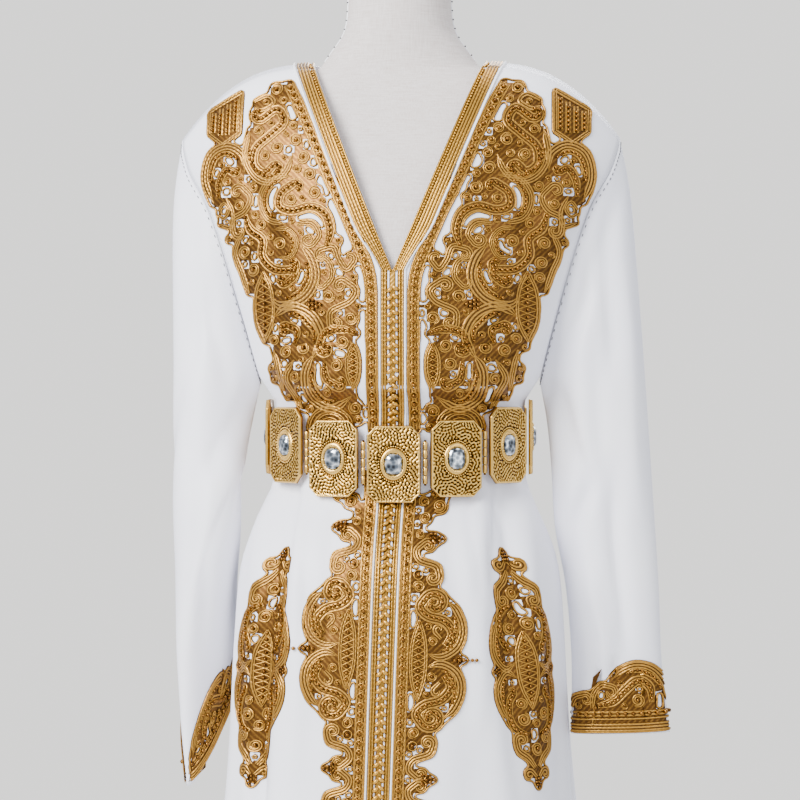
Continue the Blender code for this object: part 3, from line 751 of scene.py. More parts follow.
def layBand(shape, place, path, width, cords, rise, ends=(1.0, 1.0), low=-0.2):
    # rows of cord side by side along a path: ends are how wide the band is at its two tips
    columns = cords * 3 if cords > 1 else 4
    count = len(path) - 1
    if count < 2:
        return
    walked = [0.0]
    for a, b in zip(path, path[1:]):
        walked.append(walked[-1] + (b - a).length)
    normals = []
    for k in range(count + 1):
        ahead = path[min(count, k + 1)] - path[max(0, k - 1)]
        ahead = ahead.normalized() if ahead.length > 0 else Vector((1, 0))
        normals.append(Vector((-ahead.y, ahead.x)))
    tip = min(walked[-1] / 2, width * 1.6)

    def spread(k):
        start = ends[0] + (1 - ends[0]) * smooth(walked[k] / tip)
        finish = ends[1] + (1 - ends[1]) * smooth((walked[-1] - walked[k]) / tip)
        return max(0.06, start * finish)

    def hump(across):
        ground = 0.22 * smooth(min(across, 1 - across) * cords * 4)
        return max(ground, abs(sin(pi * cords * across)) ** 0.85)

    def put(across, up):
        k = round(up * count)
        half = width * spread(k)
        flat = path[k] + normals[k] * (across - 0.5) * half
        point, normal = place(flat.x, flat.y)
        return point + normal * ((low + rise * hump(across)) * min(1.0, spread(k) + 0.3) / 1000)

    middle = path[count // 2]
    outward = place(middle.x, middle.y)[1]
    size = (width / 1000, walked[-1] / 1000)
    # the crown, low in the grooves and at the band's edges and high on each cord, becomes painted shade and
    # painted highlight in the gold materials
    laidGrid(shape, columns, count, put, lambda across, up: hump(across) ** 1.5, size, outward=outward)


def beadTemplate(around, rings):
    # corners and faces of one small ball, to be repeated
    ball = bmesh.new()
    bmesh.ops.create_uvsphere(ball, u_segments=around, v_segments=rings, radius=1)
    ball.verts.index_update()
    corners = [vert.co.copy() for vert in ball.verts]
    sides = [[vert.index for vert in face.verts] for face in ball.faces]
    ball.free()
    return corners, sides


beadForm = beadTemplate(6, 3)


def addBall(shape, matrix, crown):
    corners, sides = beadForm
    layer = shape.verts.layers.float["crown"]
    verts = [shape.verts.new(matrix @ corner) for corner in corners]
    for vert, corner in zip(verts, corners):
        vert[layer] = crown(corner)
    for side in sides:
        shape.faces.new([verts[k] for k in side])


def layBead(shape, place, spot, radius, stretch=1.0, turn=0.0, height=0.85):
    # one small bead sitting on the cloth
    point, normal = place(spot[0], spot[1])
    across = Vector((0, 0, 1)).cross(normal).normalized()
    if across.length < 0.5:
        across = Vector((1, 0, 0))
    up = normal.cross(across).normalized()
    frame = Matrix((across, up, normal)).transposed().to_4x4()
    seat = Matrix.Translation(point + normal * radius / 1000 * height)
    size = Matrix.Diagonal((radius * stretch / 1000, radius / 1000, radius / 1000, 1))
    # the crown rises from the bead's seat on the cloth to its top: where a gold thread material reads it,
    # the seat gets painted shade and the top painted highlight
    addBall(shape, seat @ frame @ Matrix.Rotation(turn, 4, "Z") @ size, lambda corner: 0.5 + 0.5 * corner.z)


def ringPath(centre, radius, stretch=1.0, count=10):
    return [Vector((centre[0] + radius * cos(2 * pi * k / count),
                    centre[1] + radius * stretch * sin(2 * pi * k / count)))
            for k in range(count + 1)]


def beadsAlong(shape, place, path, pitch, radius, skip=0.0):
    walked, due = 0.0, skip
    for a, b in zip(path, path[1:]):
        length = (b - a).length
        while length > 0 and walked + length >= due:
            layBead(shape, place, a + (b - a) * ((due - walked) / length), radius)
            due += pitch
        walked += length


# the embroidery's motifs: flat patterns in mm

bandRise = 2.2
beadRadius, beadPitch = 2.4, 5.4
cellsLeft = 80  # how far a field's 1 mm cells reach to the left of its zero
fieldCells = (1560, 320)


def newField(name, place):
    return {"name": name, "place": place, "thread": newShape(), "beads": newShape(),
            "taken": np.zeros(fieldCells, bool)}


def sewBead(cloth, spot, radius):
    layBead(cloth["beads"], cloth["place"], spot, radius)


def sewBeads(cloth, path, pitch, radius, skip=0.0):
    beadsAlong(cloth["beads"], cloth["place"], path, pitch, radius, skip)


def mark(cloth, spot, radius):
    # notes the cells that a motif covers
    reach = int(radius + 1)
    i, j = int(round(spot[0])) + cellsLeft, int(round(spot[1]))
    left, low = max(0, i - reach), max(0, j - reach)
    block = cloth["taken"][low:j + reach + 1, left:i + reach + 1]
    rows = np.arange(low, low + block.shape[0])[:, None] - spot[1]
    columns = np.arange(left, left + block.shape[1])[None, :] - cellsLeft - spot[0]
    block |= rows**2 + columns**2 <= radius**2


def cords(cloth, path, width, count, ends=(1.0, 1.0), rise=1.0):
    layBand(cloth["thread"], cloth["place"], path, width, count, bandRise * rise, ends)
    for spot in path:
        mark(cloth, spot, width * 0.46)


def wound(points, start, finish, step):
    # a smooth path with a spiral at one or both ends; a curl is (turns, radius, side)
    path = rounded(points, step)
    if finish:
        path = curl(path, *finish)
    if start:
        path = curl(path[::-1], *start)
    return path


def scroll(cloth, points, start=None, finish=None, width=7.6, count=3, ends=(0.7, 0.7)):
    cords(cloth, wound(points, start, finish, 2.4), width, count, ends)


def beadedBand(cloth, points, start=None, finish=None, width=12.5, ends=(0.5, 0.5)):
    # cords down both edges, a sunk ground and a row of beads between them
    path = wound(points, start, finish, 2.8)
    cords(cloth, path, width, 4, ends, 0.75)
    sewBeads(cloth, path, beadPitch, beadRadius, beadPitch / 2)


def crescent(cloth, points, width=18.0):
    # three cords running out to a point at both ends, with beads between two more inside their bend
    path = rounded(points, 2.7)
    centre = sum(path, Vector((0, 0))) / len(path)
    outer = [spot + (spot - centre).normalized() * width * 0.18 for spot in path]
    cords(cloth, outer, width * 0.58, 3, (0.08, 0.12))
    share = len(path) // 7
    inner = [spot + (centre - spot).normalized() * width * 0.30 for spot in path[share:-share]]
    cords(cloth, inner, width * 0.44, 2, (0.15, 0.25), 0.8)
    sewBeads(cloth, inner, beadPitch * 0.9, beadRadius * 0.85, beadPitch / 2)


def ringedBead(cloth, spot, radius, width=2.4):
    cords(cloth, ringPath(spot, radius), width, 1)
    mark(cloth, spot, radius)
    sewBead(cloth, spot, beadRadius)


def spiral(cloth, spot, radius, turns, hand, start, width, count):
    # a curl wound inward round its own bead
    steps = max(10, int(turns * 15))
    path = []
    for k in range(steps + 1):
        angle = start + hand * 2 * pi * turns * k / steps
        reach = (radius - width / 2) * (1 - 0.70 * k / steps)
        path.append(Vector((spot[0] + reach * cos(angle), spot[1] + reach * sin(angle))))
    cords(cloth, path, width, count, (0.4, 0.8))
    sewBead(cloth, spot, min(beadRadius, radius * 0.36))


def bud(cloth, spot, heading, size=1.0):
    # bead rows stepping down to a point
    way = Vector((cos(heading), sin(heading)))
    flank = Vector((-way.y, way.x))
    spot = Vector(spot)
    for row, count in enumerate((3, 3, 2, 1)):
        for k in range(count):
            place = spot + way * (row * 4.0 * size) + flank * ((k - (count - 1) / 2) * 4.4 * size)
            sewBead(cloth, place, beadRadius * 0.9 * size)
            mark(cloth, place, 3)


def almond(cloth, spot, half, height, rows=4):
    # a pointed cartouche filled with a lattice of thin cords, a bead in every opening
    x, z = spot
    for side in (-1, 1):
        edge = [(x, z + height), (x + side * half * 0.8, z + height * 0.5), (x + side * half, z),
                (x + side * half * 0.8, z - height * 0.5), (x, z - height)]
        cords(cloth, rounded(edge, 2.0), 4.6, 2, (0.5, 0.5))
    step = height / (rows + 1)
    for k in range(-rows, rows + 1):
        level = z + k * step
        reach = half * (1 - (abs(k) / (rows + 1)) ** 1.6)
        for side in (-1, 1):
            bar = [(x - side * reach, level - step / 2), (x, level), (x + side * reach, level + step / 2)]
            cords(cloth, rounded(bar, 3.0), 1.9, 1, (1.0, 1.0), 0.6)
        sewBead(cloth, (x, level + step / 2), beadRadius * 0.8)
    for k in range(9):
        mark(cloth, (x, z + height * (k - 4) / 5), half * (1 - abs(k - 4) / 6))


def fan(cloth, spot, radius, count=3):
    # half rings bent one inside the other
    for k in range(count):
        reach = radius * (1 - k / (count + 0.6))
        path = [Vector((spot[0] + reach * cos(pi * s / 16), spot[1] + reach * sin(pi * s / 16)))
                for s in range(17)]
        cords(cloth, path, 5.4, 2, (0.8, 0.8))


def beadColumn(cloth, points, width=13.0, pitch=9.5):
    # the border beside the braids: a corded ground with a ringed bead at every step
    path = rounded(points, 3.2)
    cords(cloth, path, width, 4, (1.0, 1.0), 0.6)
    walked, due = 0.0, pitch / 2
    for a, b in zip(path, path[1:]):
        length = (b - a).length
        if walked + length >= due:
            spot = a + (b - a) * ((due - walked) / length)
            layBand(cloth["thread"], cloth["place"], ringPath(spot, 3.7), 1.9, 1, bandRise * 0.95)
            sewBead(cloth, spot, beadRadius * 1.05)
            due += pitch
        walked += length


def grown(mask, radius):
    # a mask of cells spread by a disc
    spread = mask.copy()
    reach = int(radius)
    for dy in range(-reach, reach + 1):
        for dx in range(-reach, reach + 1):
            if dx * dx + dy * dy <= radius * radius:
                spread |= np.roll(np.roll(mask, dy, 0), dx, 1)
    return spread


def outlines(mask):
    # the closed outlines of a mask of cells, as the corners they pass
    onward = {}
    steps = [(-1, 0, (0, 0), (1, 0)), (0, 1, (1, 0), (1, 1)), (1, 0, (1, 1), (0, 1)),
             (0, -1, (0, 1), (0, 0))]
    for dj, di, start, finish in steps:
        for j, i in np.argwhere(mask & ~np.roll(mask, (-dj, -di), (0, 1))).tolist():
            onward.setdefault((i + start[0], j + start[1]), []).append((i + finish[0], j + finish[1]))
    loops = []
    while onward:
        spot, loop = next(iter(onward)), []
        while spot in onward:
            loop.append(spot)
            ahead = onward[spot].pop()
            if not onward[spot]:
                del onward[spot]
            spot = ahead
        loops.append(np.array(loop, float) - (cellsLeft + 0.5, 0.5))
    return loops


# what lies between the motifs, in mm: gaps up to twice "reach" are closed, and so are islands of cloth
# under twice "least"
ground = {"reach": 2.7, "back": 1.0, "least": 1.7, "cordOut": 1.2, "cord": 2.9, "shortest": 15, "step": 3,
          "up": 0.0003, "sunk": -0.0002, "light": 0.56, "dark": 0.36}


def sewnGround(cloth):
    # flat stitches close the narrow gaps between motifs, and one cord runs round each island that is left
    closed = ~grown(~grown(cloth["taken"], ground["reach"]), ground["back"])
    bare = grown(~grown(closed, ground["least"]), ground["least"])
    for loop in outlines(~grown(bare, ground["cordOut"])):
        if len(loop) > ground["shortest"]:
            soft = sum(np.roll(loop, k, 0) for k in range(-4, 5)) / 9
            path = [Vector(spot) for spot in soft[::4]]
            cords(cloth, path + path[:1], ground["cord"], 1)
    covered, step = ~bare, ground["step"]
    layer = cloth["thread"].verts.layers.float["crown"]
    corners = {}

    def corner(j, i):
        if (j, i) not in corners:
            inside = covered[j - step:j + step, i - step:i + step].all()
            point, normal = cloth["place"](i - cellsLeft - 0.5, j - 0.5)
            made = cloth["thread"].verts.new(point + normal * ground["up" if inside else "sunk"])
            made[layer] = ground["light" if (i + j) // step % 2 else "dark"]
            corners[(j, i)] = made
        return corners[(j, i)]

    for j in range(2 * step, covered.shape[0] - 2 * step, step):
        for i in range(2 * step, covered.shape[1] - 2 * step, step):
            if covered[j:j + step, i:i + step].all():
                around = [(j, i), (j, i + step), (j + step, i + step), (j + step, i)]
                cloth["thread"].faces.new([corner(*spot) for spot in around]).normal_update()


# the curls that fill what is left of a region: radius in mm, turns, and cord width as a share of the radius
curls = [(9.0, 1.45, 0.52), (7.6, 1.45, 0.52), (6.2, 1.45, 0.52), (5.0, 1.0, 0.48)]
curlSpace = 0.84  # how far a curl stays clear of what is sewn already, as a share of its radius


def fill(cloth, region, seed):
    # packs curls round their own beads, largest first, and closes the ground between them
    rng = np.random.default_rng(seed)
    rows, columns = cloth["taken"].shape
    z, x = np.mgrid[0:rows, 0:columns]
    inside = region(x - cellsLeft, z)
    for radius, turns, width in curls:
        blocked = grown(cloth["taken"] | ~inside, radius * curlSpace)
        cells = np.argwhere(~blocked)
        rng.shuffle(cells)
        for j, i in cells:
            if blocked[j, i]:
                continue
            spot = (float(i - cellsLeft), float(j))
            reach = int(2 * radius)
            blocked[max(0, j - reach):j + reach + 1, max(0, i - reach):i + reach + 1] = True
            hand, start = (1 if rng.random() < 0.5 else -1), rng.random() * 2 * pi
            spiral(cloth, spot, radius, turns, hand, start, radius * width, 2)
            mark(cloth, spot, radius)
    sewnGround(cloth)


def between(levels, low, high):
    # a region by its two sides at a few heights
    def region(x, z):
        span = (z >= levels[0]) & (z <= levels[-1])
        return span & (x >= np.interp(z, levels, low)) & (x <= np.interp(z, levels, high))

    return region


# the bodice and the border down the front

def bodiceField(side):
    plain = projector(trees["front"], (0, -0.1, 0), (1, 0, 0), (0, 0, 1), wall)

    def place(x, z):
        return plain(side * (x - 5) / 1.04, 1145 + (z - 1145) / 1.04)

    return newField("bodice_" + ("left" if side < 0 else "right"), place)


def shoulderShield(cloth):
    outline = [(213, 1462), (176, 1482), (176, 1436), (195, 1424), (212, 1437), (213, 1462)]
    for a, b in zip(outline, outline[1:]):
        cords(cloth, rounded([a, b], 2.0), 5.0, 2)
    for k in range(4):
        x = 181.5 + 8.6 * k
        low, high = 1433 + 3.2 * abs(k - 1.5), 1474 - 4.6 * k
        cords(cloth, rounded([(x, low), (x, high)], 2.4), 8.0, 2, (1.0, 1.0), 0.7)
        sewBeads(cloth, rounded([(x, low + 3), (x, high - 3)], 2.0), 5.0, 2.2)


def bodice(side):
    cloth = bodiceField(side)
    shoulderShield(cloth)
    beadColumn(cloth, [(123, 1488), (110, 1463), (92, 1425), (75, 1385), (57, 1347), (40, 1307), (30, 1280),
                       (27.5, 1255), (27, 1200), (27, 1114)])
    # hooked arch under the shield, its curl and the ring below it
    crescent(cloth, [(205, 1364), (213, 1388), (207, 1411), (190, 1419), (174, 1410), (172, 1394)], 17)
    beadedBand(cloth, [(200, 1366), (198, 1384), (190, 1396), (182, 1392)], None, (0.6, 5, -1), 10)
    scroll(cloth, [(200, 1352), (193, 1360), (187, 1352), (193, 1344), (200, 1348)], width=4.4, count=2)
    scroll(cloth, [(199, 1338), (184, 1334), (182, 1350), (190, 1366)], None, None, 5, 2, (0.3, 0.3))
    scroll(cloth, [(172, 1376), (162, 1364), (168, 1350), (182, 1342), (182, 1328)], (0.8, 7, -1),
           (0.8, 7, -1), 8.0, 3)
    # long beaded S across the chest inside its crescent
    beadedBand(cloth, [(150, 1450), (134, 1460), (126, 1446), (140, 1432), (156, 1418), (158, 1400),
                       (146, 1390), (136, 1398)],
               (0.7, 8, 1), (0.7, 6, 1), 13)
    crescent(cloth, [(163, 1436), (166, 1408), (154, 1388), (138, 1382), (124, 1392), (117, 1408)], 14)
    scroll(cloth, [(160, 1470), (146, 1476), (138, 1468), (150, 1460), (160, 1462)], width=6, count=2)
    # big corded C round a beaded inner band
    crescent(cloth, [(116, 1384), (136, 1382), (148, 1364), (142, 1344), (122, 1336)], 13)
    beadedBand(cloth, [(112, 1378), (126, 1368), (128, 1354), (114, 1348), (94, 1352), (78, 1344),
                       (72, 1326), (76, 1308)],
               (0.6, 6, 1), None, 12.5)
    scroll(cloth, [(108, 1334), (92, 1334), (84, 1322), (90, 1312)], None, (0.9, 7, 1), 7.4, 3)
    scroll(cloth, [(82, 1306), (68, 1308), (62, 1294), (54, 1284), (46, 1292)], (0.8, 7, -1),
           (0.6, 6, -1), 8, 3)
    beadedBand(cloth, [(168, 1346), (162, 1330), (148, 1318), (148, 1300), (134, 1286), (114, 1284)],
               None, (0.7, 7, -1), 12.5)
    crescent(cloth, [(134, 1328), (118, 1326), (110, 1314), (116, 1300), (130, 1300)], 10)
    almond(cloth, (146, 1246), 11, 38)
    scroll(cloth, [(172, 1326), (180, 1306), (172, 1284), (164, 1262)], None, None, 7, 3, (0.3, 0.3))
    # two crescents back to back with a leaf between their tips
    crescent(cloth, [(106, 1310), (94, 1294), (91, 1274), (103, 1256), (124, 1250), (136, 1260)], 20)
    crescent(cloth, [(134, 1232), (116, 1243), (97, 1236), (85, 1220), (86, 1206), (94, 1190)], 20)
    bud(cloth, (94, 1247), pi, 1.0)
    beadedBand(cloth, [(116, 1296), (110, 1280), (120, 1270)], None, (0.8, 6, 1), 10)
    beadedBand(cloth, [(112, 1206), (108, 1220), (120, 1226)], None, (0.8, 6, -1), 10)
    # plain scrolls beside the bead column
    scroll(cloth, [(56, 1272), (44, 1262), (50, 1250), (70, 1240), (72, 1228)], (0.9, 7, -1),
           (0.9, 7, -1), 8.6, 3)
    scroll(cloth, [(84, 1300), (72, 1290), (70, 1276), (78, 1266)], None, (0.6, 6, 1), 7, 3)
    beadedBand(cloth, [(44, 1216), (56, 1220), (76, 1218), (84, 1204)], None, (0.9, 8, -1), 11)
    # bottom crescent, fan over the belt and the lattice beside the bead column
    crescent(cloth, [(88, 1192), (97, 1172), (91, 1150), (73, 1140), (52, 1152)], 19)
    beadedBand(cloth, [(78, 1186), (76, 1168), (64, 1160)], None, (0.7, 6, -1), 11)
    fan(cloth, (74, 1114), 24, 3)
    almond(cloth, (47, 1182), 6.5, 24, 3)
    scroll(cloth, [(112, 1188), (122, 1170), (112, 1150), (106, 1136)], None, None, 7.4, 3, (0.2, 0.4))
    scroll(cloth, [(136, 1200), (130, 1178), (126, 1156)], None, None, 7.0, 3, (0.3, 0.4))
    fill(cloth, between(
        [1112, 1129, 1145, 1168, 1214, 1252, 1292, 1306, 1316, 1354, 1375, 1412, 1422, 1426, 1458, 1479,
         1492],
        [38, 38, 38, 38, 38, 38, 46, 54, 58, 74, 82, 97, 101, 103, 116, 124, 130],
        [60, 96, 123, 140, 150, 162, 180, 186, 190, 201, 213, 210, 206, 166, 164, 160, 134]), 3 + side)
    return cloth


def besideClosure(side):
    # x is mm out from the centre front, z is the height
    plain = projector(trees["front"], (0, -0.1, 0), (1, 0, 0), (0, 0, 1), wall)

    def place(x, z):
        return plain(side * x + centreDrift(z / 1000) * 1000, z)

    return place


def skirtUnit(cloth, middle):
    # one repeat of the border: the same figures above and below its middle
    for hand in (1, -1):
        def up(points, hand=hand):
            return [(x, middle + hand * d) for x, d in points]

        scroll(cloth, up([(38, 118), (30, 110), (34, 100), (50, 94), (54, 85)]), (0.8, 5.5, -hand),
               (0.9, 6.5, -hand), 8.2, 3)
        ringedBead(cloth, up([(33, 86)])[0], 4.6)
        beadedBand(cloth, up([(42, 64), (36, 54), (44, 45), (60, 40), (69, 28), (62, 15)]),
                   (1.15, 10.5, -hand), None, 12.5)
        crescent(cloth, up([(62, 57), (72, 47), (77, 31), (73, 15), (60, 6), (46, 9)]), 16)
        scroll(cloth, up([(58, 22), (52, 28)]), None, (0.7, 5, -hand), 5.5, 2)
    almond(cloth, (36, middle), 7.5, 41, 5)
    for k in range(6):
        sewBead(cloth, (72 + 4.6 * k, middle), beadRadius * 0.95)
    bud(cloth, (76, middle), 0.0, 0.6)
    bud(cloth, (44, middle + 121), 0.0, 1.0)


def border(side):
    cloth = newField("border_" + ("left" if side < 0 else "right"), besideClosure(side))
    first, period = (892 if side < 0 else 881), 241
    beadColumn(cloth, [(20.4, 1068), (20.4, 700), (20.4, 350), (20.4, 34)], 12.6)
    for k in range(4):
        skirtUnit(cloth, first - period * k)

    def region(x, z):
        away = np.abs((z - first + period / 2) % period - period / 2)
        high = np.interp(away, [0, 8, 31, 50, 58, 68, 80, 92, 104, 112, 121],
                         [68, 76, 83, 76, 66, 64, 61, 57, 41, 38, 48])
        return (z > 34) & (z < 1052) & (x > 27) & (x < high)

    fill(cloth, region, 13 + side)
    return cloth


def lozenge(side):
    # the figures down the side of the skirt, one under the other
    turn = radians(47)
    right = (cos(turn), side * sin(turn), 0)
    plain = projector(trees["front"], (side * 0.136, -0.100, 0), right, (0, 0, 1), wall)

    def place(x, z):
        return plain(side * x + side * (868 - z) * 0.10, z)

    cloth = newField("lozenge_" + ("left" if side < 0 else "right"), place)
    first, period = 868, 267
    for k in range(4):
        middle = first - period * k
        for up in (1, -1):
            for hand in (-1, 1):
                def turned(points, hand=hand, up=up, middle=middle):
                    return [(x * hand, middle + up * d) for x, d in points]

                wind = hand * up
                scroll(cloth, turned([(2, 110), (7, 104)]), None, (0.9, 5.5, wind), 6.2, 2)
                scroll(cloth, turned([(3, 100), (10, 90), (20, 82), (22, 72)]), None, (0.9, 6.5, -wind),
                       8.4, 3)
                crescent(cloth, turned([(28, 50), (35, 34), (35, 16), (24, 4), (14, 10)]), 15)
                beadedBand(cloth, turned([(8, 66), (20, 60), (26, 48), (24, 32), (18, 24)]), None,
                           (0.5, 4, wind), 10)
            bud(cloth, (0, middle + up * 112), up * pi / 2, 0.8)
        almond(cloth, (0, middle), 10.5, 40, 5)
        for hand in (-1, 1):
            bud(cloth, (hand * 32, middle), 0.0 if hand > 0 else pi, 0.7)

    def region(x, z):
        away = np.abs((z - first + period / 2) % period - period / 2)
        high = np.interp(away, [0, 12, 34, 52, 64, 74, 84, 96, 106, 114, 122],
                         [32, 38, 40, 34, 32, 30, 20, 16, 14, 8, 3])
        return (z > 34) & (z < 1000) & (np.abs(x) < high)

    fill(cloth, region, 23 + side)
    return cloth


def cuff(side):
    # the border at the sleeve's end, on both its layers
    name = "sleeveRight" if side > 0 else "sleeveLeft"
    over, under = sleevePoint(side, 0, 0.995), sleevePoint(side, pi, 0.995)
    higher = (sleevePoint(side, 0, 0.9) + sleevePoint(side, pi, 0.9)) / 2
    middle = (over + under) / 2
    up, along = (higher - middle).normalized(), (over - under).normalized()
    half = (over - under).length * 500
    base = 400  # where the sleeve's end lies in a field
    fields = []
    for layer in ("front", "back"):
        right = along if (along.x > 0) == (layer == "front") else -along
        plain = projector(trees[name], middle, right, up, 0.0002)
        cloth = newField(name + "_" + layer, lambda x, z, plain=plain: plain(x, z - base))
        flip = side * (1 if layer == "front" else -1)
        edge = half - 1.5

        def spots(points, flip=flip):
            return [(flip * x * half / 53, base + z) for x, z in points]

        for z, width, count, rise in ((4.5, 10.0, 3, 1.0), (13.6, 3.4, 1, 1.0), (19, 7.0, 2, 0.6)):
            level = rounded([(-edge, base + z), (0, base + z), (edge, base + z)], 2.4)
            cords(cloth, level, width, count, (1.0, 1.0), rise)
        sewBeads(cloth, rounded([(-edge, base + 19), (edge, base + 19)], 2.4),
                   8.2, beadRadius * 1.1)
        crescent(cloth, spots([(-3, 55), (8, 64), (23, 68), (38, 62), (48, 48), (50, 30)]), 15)
        beadedBand(cloth, spots([(-22, 28), (-6, 32), (8, 44), (22, 54), (34, 46), (35, 30)]), None, None,
                   12)
        scroll(cloth, spots([(-28, 26), (-26, 40), (-16, 50), (-6, 48)]), None, (0.8, 7, -flip), 7.4, 3)
        scroll(cloth, spots([(-50, 26), (-46, 36), (-36, 40)]), None, (0.8, 6, -flip), 7, 3)

        def region(x, z, flip=flip):
            across = flip * x * 53 / half
            top = np.interp(across, [-53, -42, -28, -20, -14, 0, 8, 18, 34, 46, 53],
                            [28, 40, 42, 38, 50, 56, 64, 72, 70, 60, 44])
            return (np.abs(across) < 51) & (z > base + 23) & (z < base + top)

        fill(cloth, region, 33 + side)
        fields.append(cloth)
    return fields


fields = [bodice(-1), bodice(1), border(-1), border(1), lozenge(-1), lozenge(1)] + cuff(-1) + cuff(1)
trimmed = {"sleeveLeft_front": ["cuff_braid_left"], "sleeveRight_front": ["cuff_braid_right"]}
for cloth in fields:
    count = [sum(len(face.verts) - 2 for face in cloth[part].faces) for part in ("thread", "beads")]
    addPiece("embroidery_" + cloth["name"], cloth["thread"], "thread",
             trimmed.get(cloth["name"], ()))
    addPiece("beads_" + cloth["name"], cloth["beads"], "bead")
    print("embroidered", cloth["name"], count)


# braids at the neck and down the centre front

chestShareAtV = (vPoint - underarm) / (neckZ - underarm)
neckRun = 262.0  # mm along the neck edge, from the V to the shoulder line


def laidNear(tree, point, facing):
    # the nearest place on the cloth, with its normal turned to the given side
    found, normal, index, far = tree.find_nearest(point)
    if normal.dot(facing) < 0:
        normal = -normal
    return found + normal * wall, normal


def neckField(side):
    # x is mm out from the neck edge, z is mm along it from the V up to the shoulder line
    def place(x, z):
        x *= 0.575 + 0.425 * smooth(z / 60)
        share = chestShareAtV + (1 - chestShareAtV) * min(1.0, max(0.0, z / neckRun))
        point = chestPoint(neckEdge(share) + x / 1000, share, side, True)
        return laidNear(trees["front"], point, Vector((0, -1, 0.6)))

    return place


def backNeckField():
    # x is mm across the back, z is mm down from the neck edge
    def place(x, z):
        share = 1 - 0.0405 * min(1.0, max(0.0, z / 13.6))
        point = chestPoint(abs(x) / 1000, share, 1 if x > 0 else -1, False)
        return laidNear(trees["back"], point, Vector((0, 1, 0.6)))

    return place


def straight(a, b, step=4.5):
    a, b = Vector(a), Vector(b)
    count = max(2, round((b - a).length / step))
    return [a.lerp(b, k / count) for k in range(count + 1)]


def neckBraid(name, place, route, node):
    gold, white, beads = newShape(), newShape(), newShape()
    layBand(gold, place, route(10.0), 20.0, 3, 0.6)
    layBand(gold, place, route(1.6), 3.0, 1, 2.2)
    layBand(gold, place, route(12.6), 13.6, 4, 2.4)
    beadsAlong(beads, place, route(4.4), 3.3, 1.5)
    layBand(white, place, route(21.6), 3.8, 1, 2.8)
    addPiece("braid " + name, gold, "braid", [node])
    addPiece("piping " + name, white, "piping")
    addPiece("chain " + name, beads, "braid")


for side, word in ((-1, "left"), (1, "right")):
    neckBraid("neck " + word, neckField(side), lambda x: straight((x, 0), (x, neckRun)),
              "neck_braid_" + word)
neckBraid("back neck", backNeckField(), lambda x: straight((-116, x * 0.58), (116, x * 0.58)),
          "neck_braid_back")


def centreClosure():
    place = besideClosure(1)
    gold, white, plait = newShape(), newShape(), newShape()
    low, high = hem * 1000 + 3, vPoint * 1000 + 1
    layBand(gold, place, straight((0, low), (0, high)), 25.0, 3, 0.5)
    for hand in (-1, 1):
        layBand(gold, place, straight((hand * 10.2, low), (hand * 10.2, high)), 3.0, 1, 2.2)
        layBand(gold, place, straight((hand * 7.3, low), (hand * 7.3, high)), 2.8, 1, 1.8)
        layBand(white, place, straight((hand * 12.9, low), (hand * 12.9, high)), 2.6, 1, 2.4)
    pitch = 8.3
    for k in range(int((high - 12 - low) / pitch)):
        for hand in (-1, 1):
            spot = (hand * 2.6, low + 4 + pitch * k + (1.8 if hand > 0 else 0))
            layBead(plait, place, spot, 2.7, 2.0, -hand * radians(40), 0.6)
    addPiece("braid centre closure", gold, "braid", ["centre_closure"])
    addPiece("piping centre closure", white, "piping")
    addPiece("plait centre closure", plait, "braid")


centreClosure()


def armholeStitches(side):
    # the dark running stitch round each armhole
    shape = newShape()
    count = 84
    for k in range(count):
        around = 2 * pi * (k + 0.5) / count
        spot = sleevePoint(side, around, 0.012)
        ahead = (sleevePoint(side, around + 0.02, 0.012) - spot).normalized()
        found, normal, index, far = trees["sleeveRight" if side > 0 else "sleeveLeft"].find_nearest(spot)
        flank = ahead.cross(normal).normalized()
        frame = Matrix((ahead, flank, normal)).transposed().to_4x4()
        size = Matrix.Diagonal((0.0021, 0.00045, 0.00045, 1))
        addBall(shape, Matrix.Translation(found + normal * 0.0003) @ frame @ size, lambda corner: 0.5)
    addPiece("armhole stitches " + ("right" if side > 0 else "left"), shape, "stitch")


armholeStitches(-1)
armholeStitches(1)
print("braids laid")


# the belt

plateSize = {"width": 0.0560, "height": 0.080, "thick": 0.003, "chamfer": 0.010}
stoneSize = {"width": 0.018, "height": 0.022, "thick": 0.004}
beltOval = {"half": 0.1388, "depth": 0.1085}


def beltFrame(node):
    # where a plate, stone or hinge sits: +X along the belt, -Y out of it
    low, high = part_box(frame["nodes"][node].name)
    centre = (Vector(low) + Vector(high)) / 2
    turn = np.arctan2(centre.x / beltOval["half"], -centre.y / beltOval["depth"])
    along = Vector((beltOval["half"] * cos(turn), beltOval["depth"] * sin(turn), 0)).normalized()
    back = Vector((0, 0, 1)).cross(along)
    return Matrix.Translation(centre) @ Matrix((along, back, Vector((0, 0, 1)))).transposed().to_4x4()


def labyrinth(seed, columns, rows):
    # worm-like filigree: noise kept to one wavelength, then squeezed into ridges and channels
    made = np.random.default_rng(seed).standard_normal((rows, columns))
    fx = np.fft.fftfreq(columns, plateSize["width"] * 1000 / columns)[None, :]
    fz = np.fft.fftfreq(rows, plateSize["height"] * 1000 / rows)[:, None]
    reach = np.sqrt(fx**2 + fz**2)
    keep = np.exp(-(((reach - 1 / 3.3) / 0.05) ** 2))
    for _ in range(6):
        made = np.real(np.fft.ifft2(np.fft.fft2(made) * keep))
        made = np.tanh(2.2 * made / made.std())
    return made


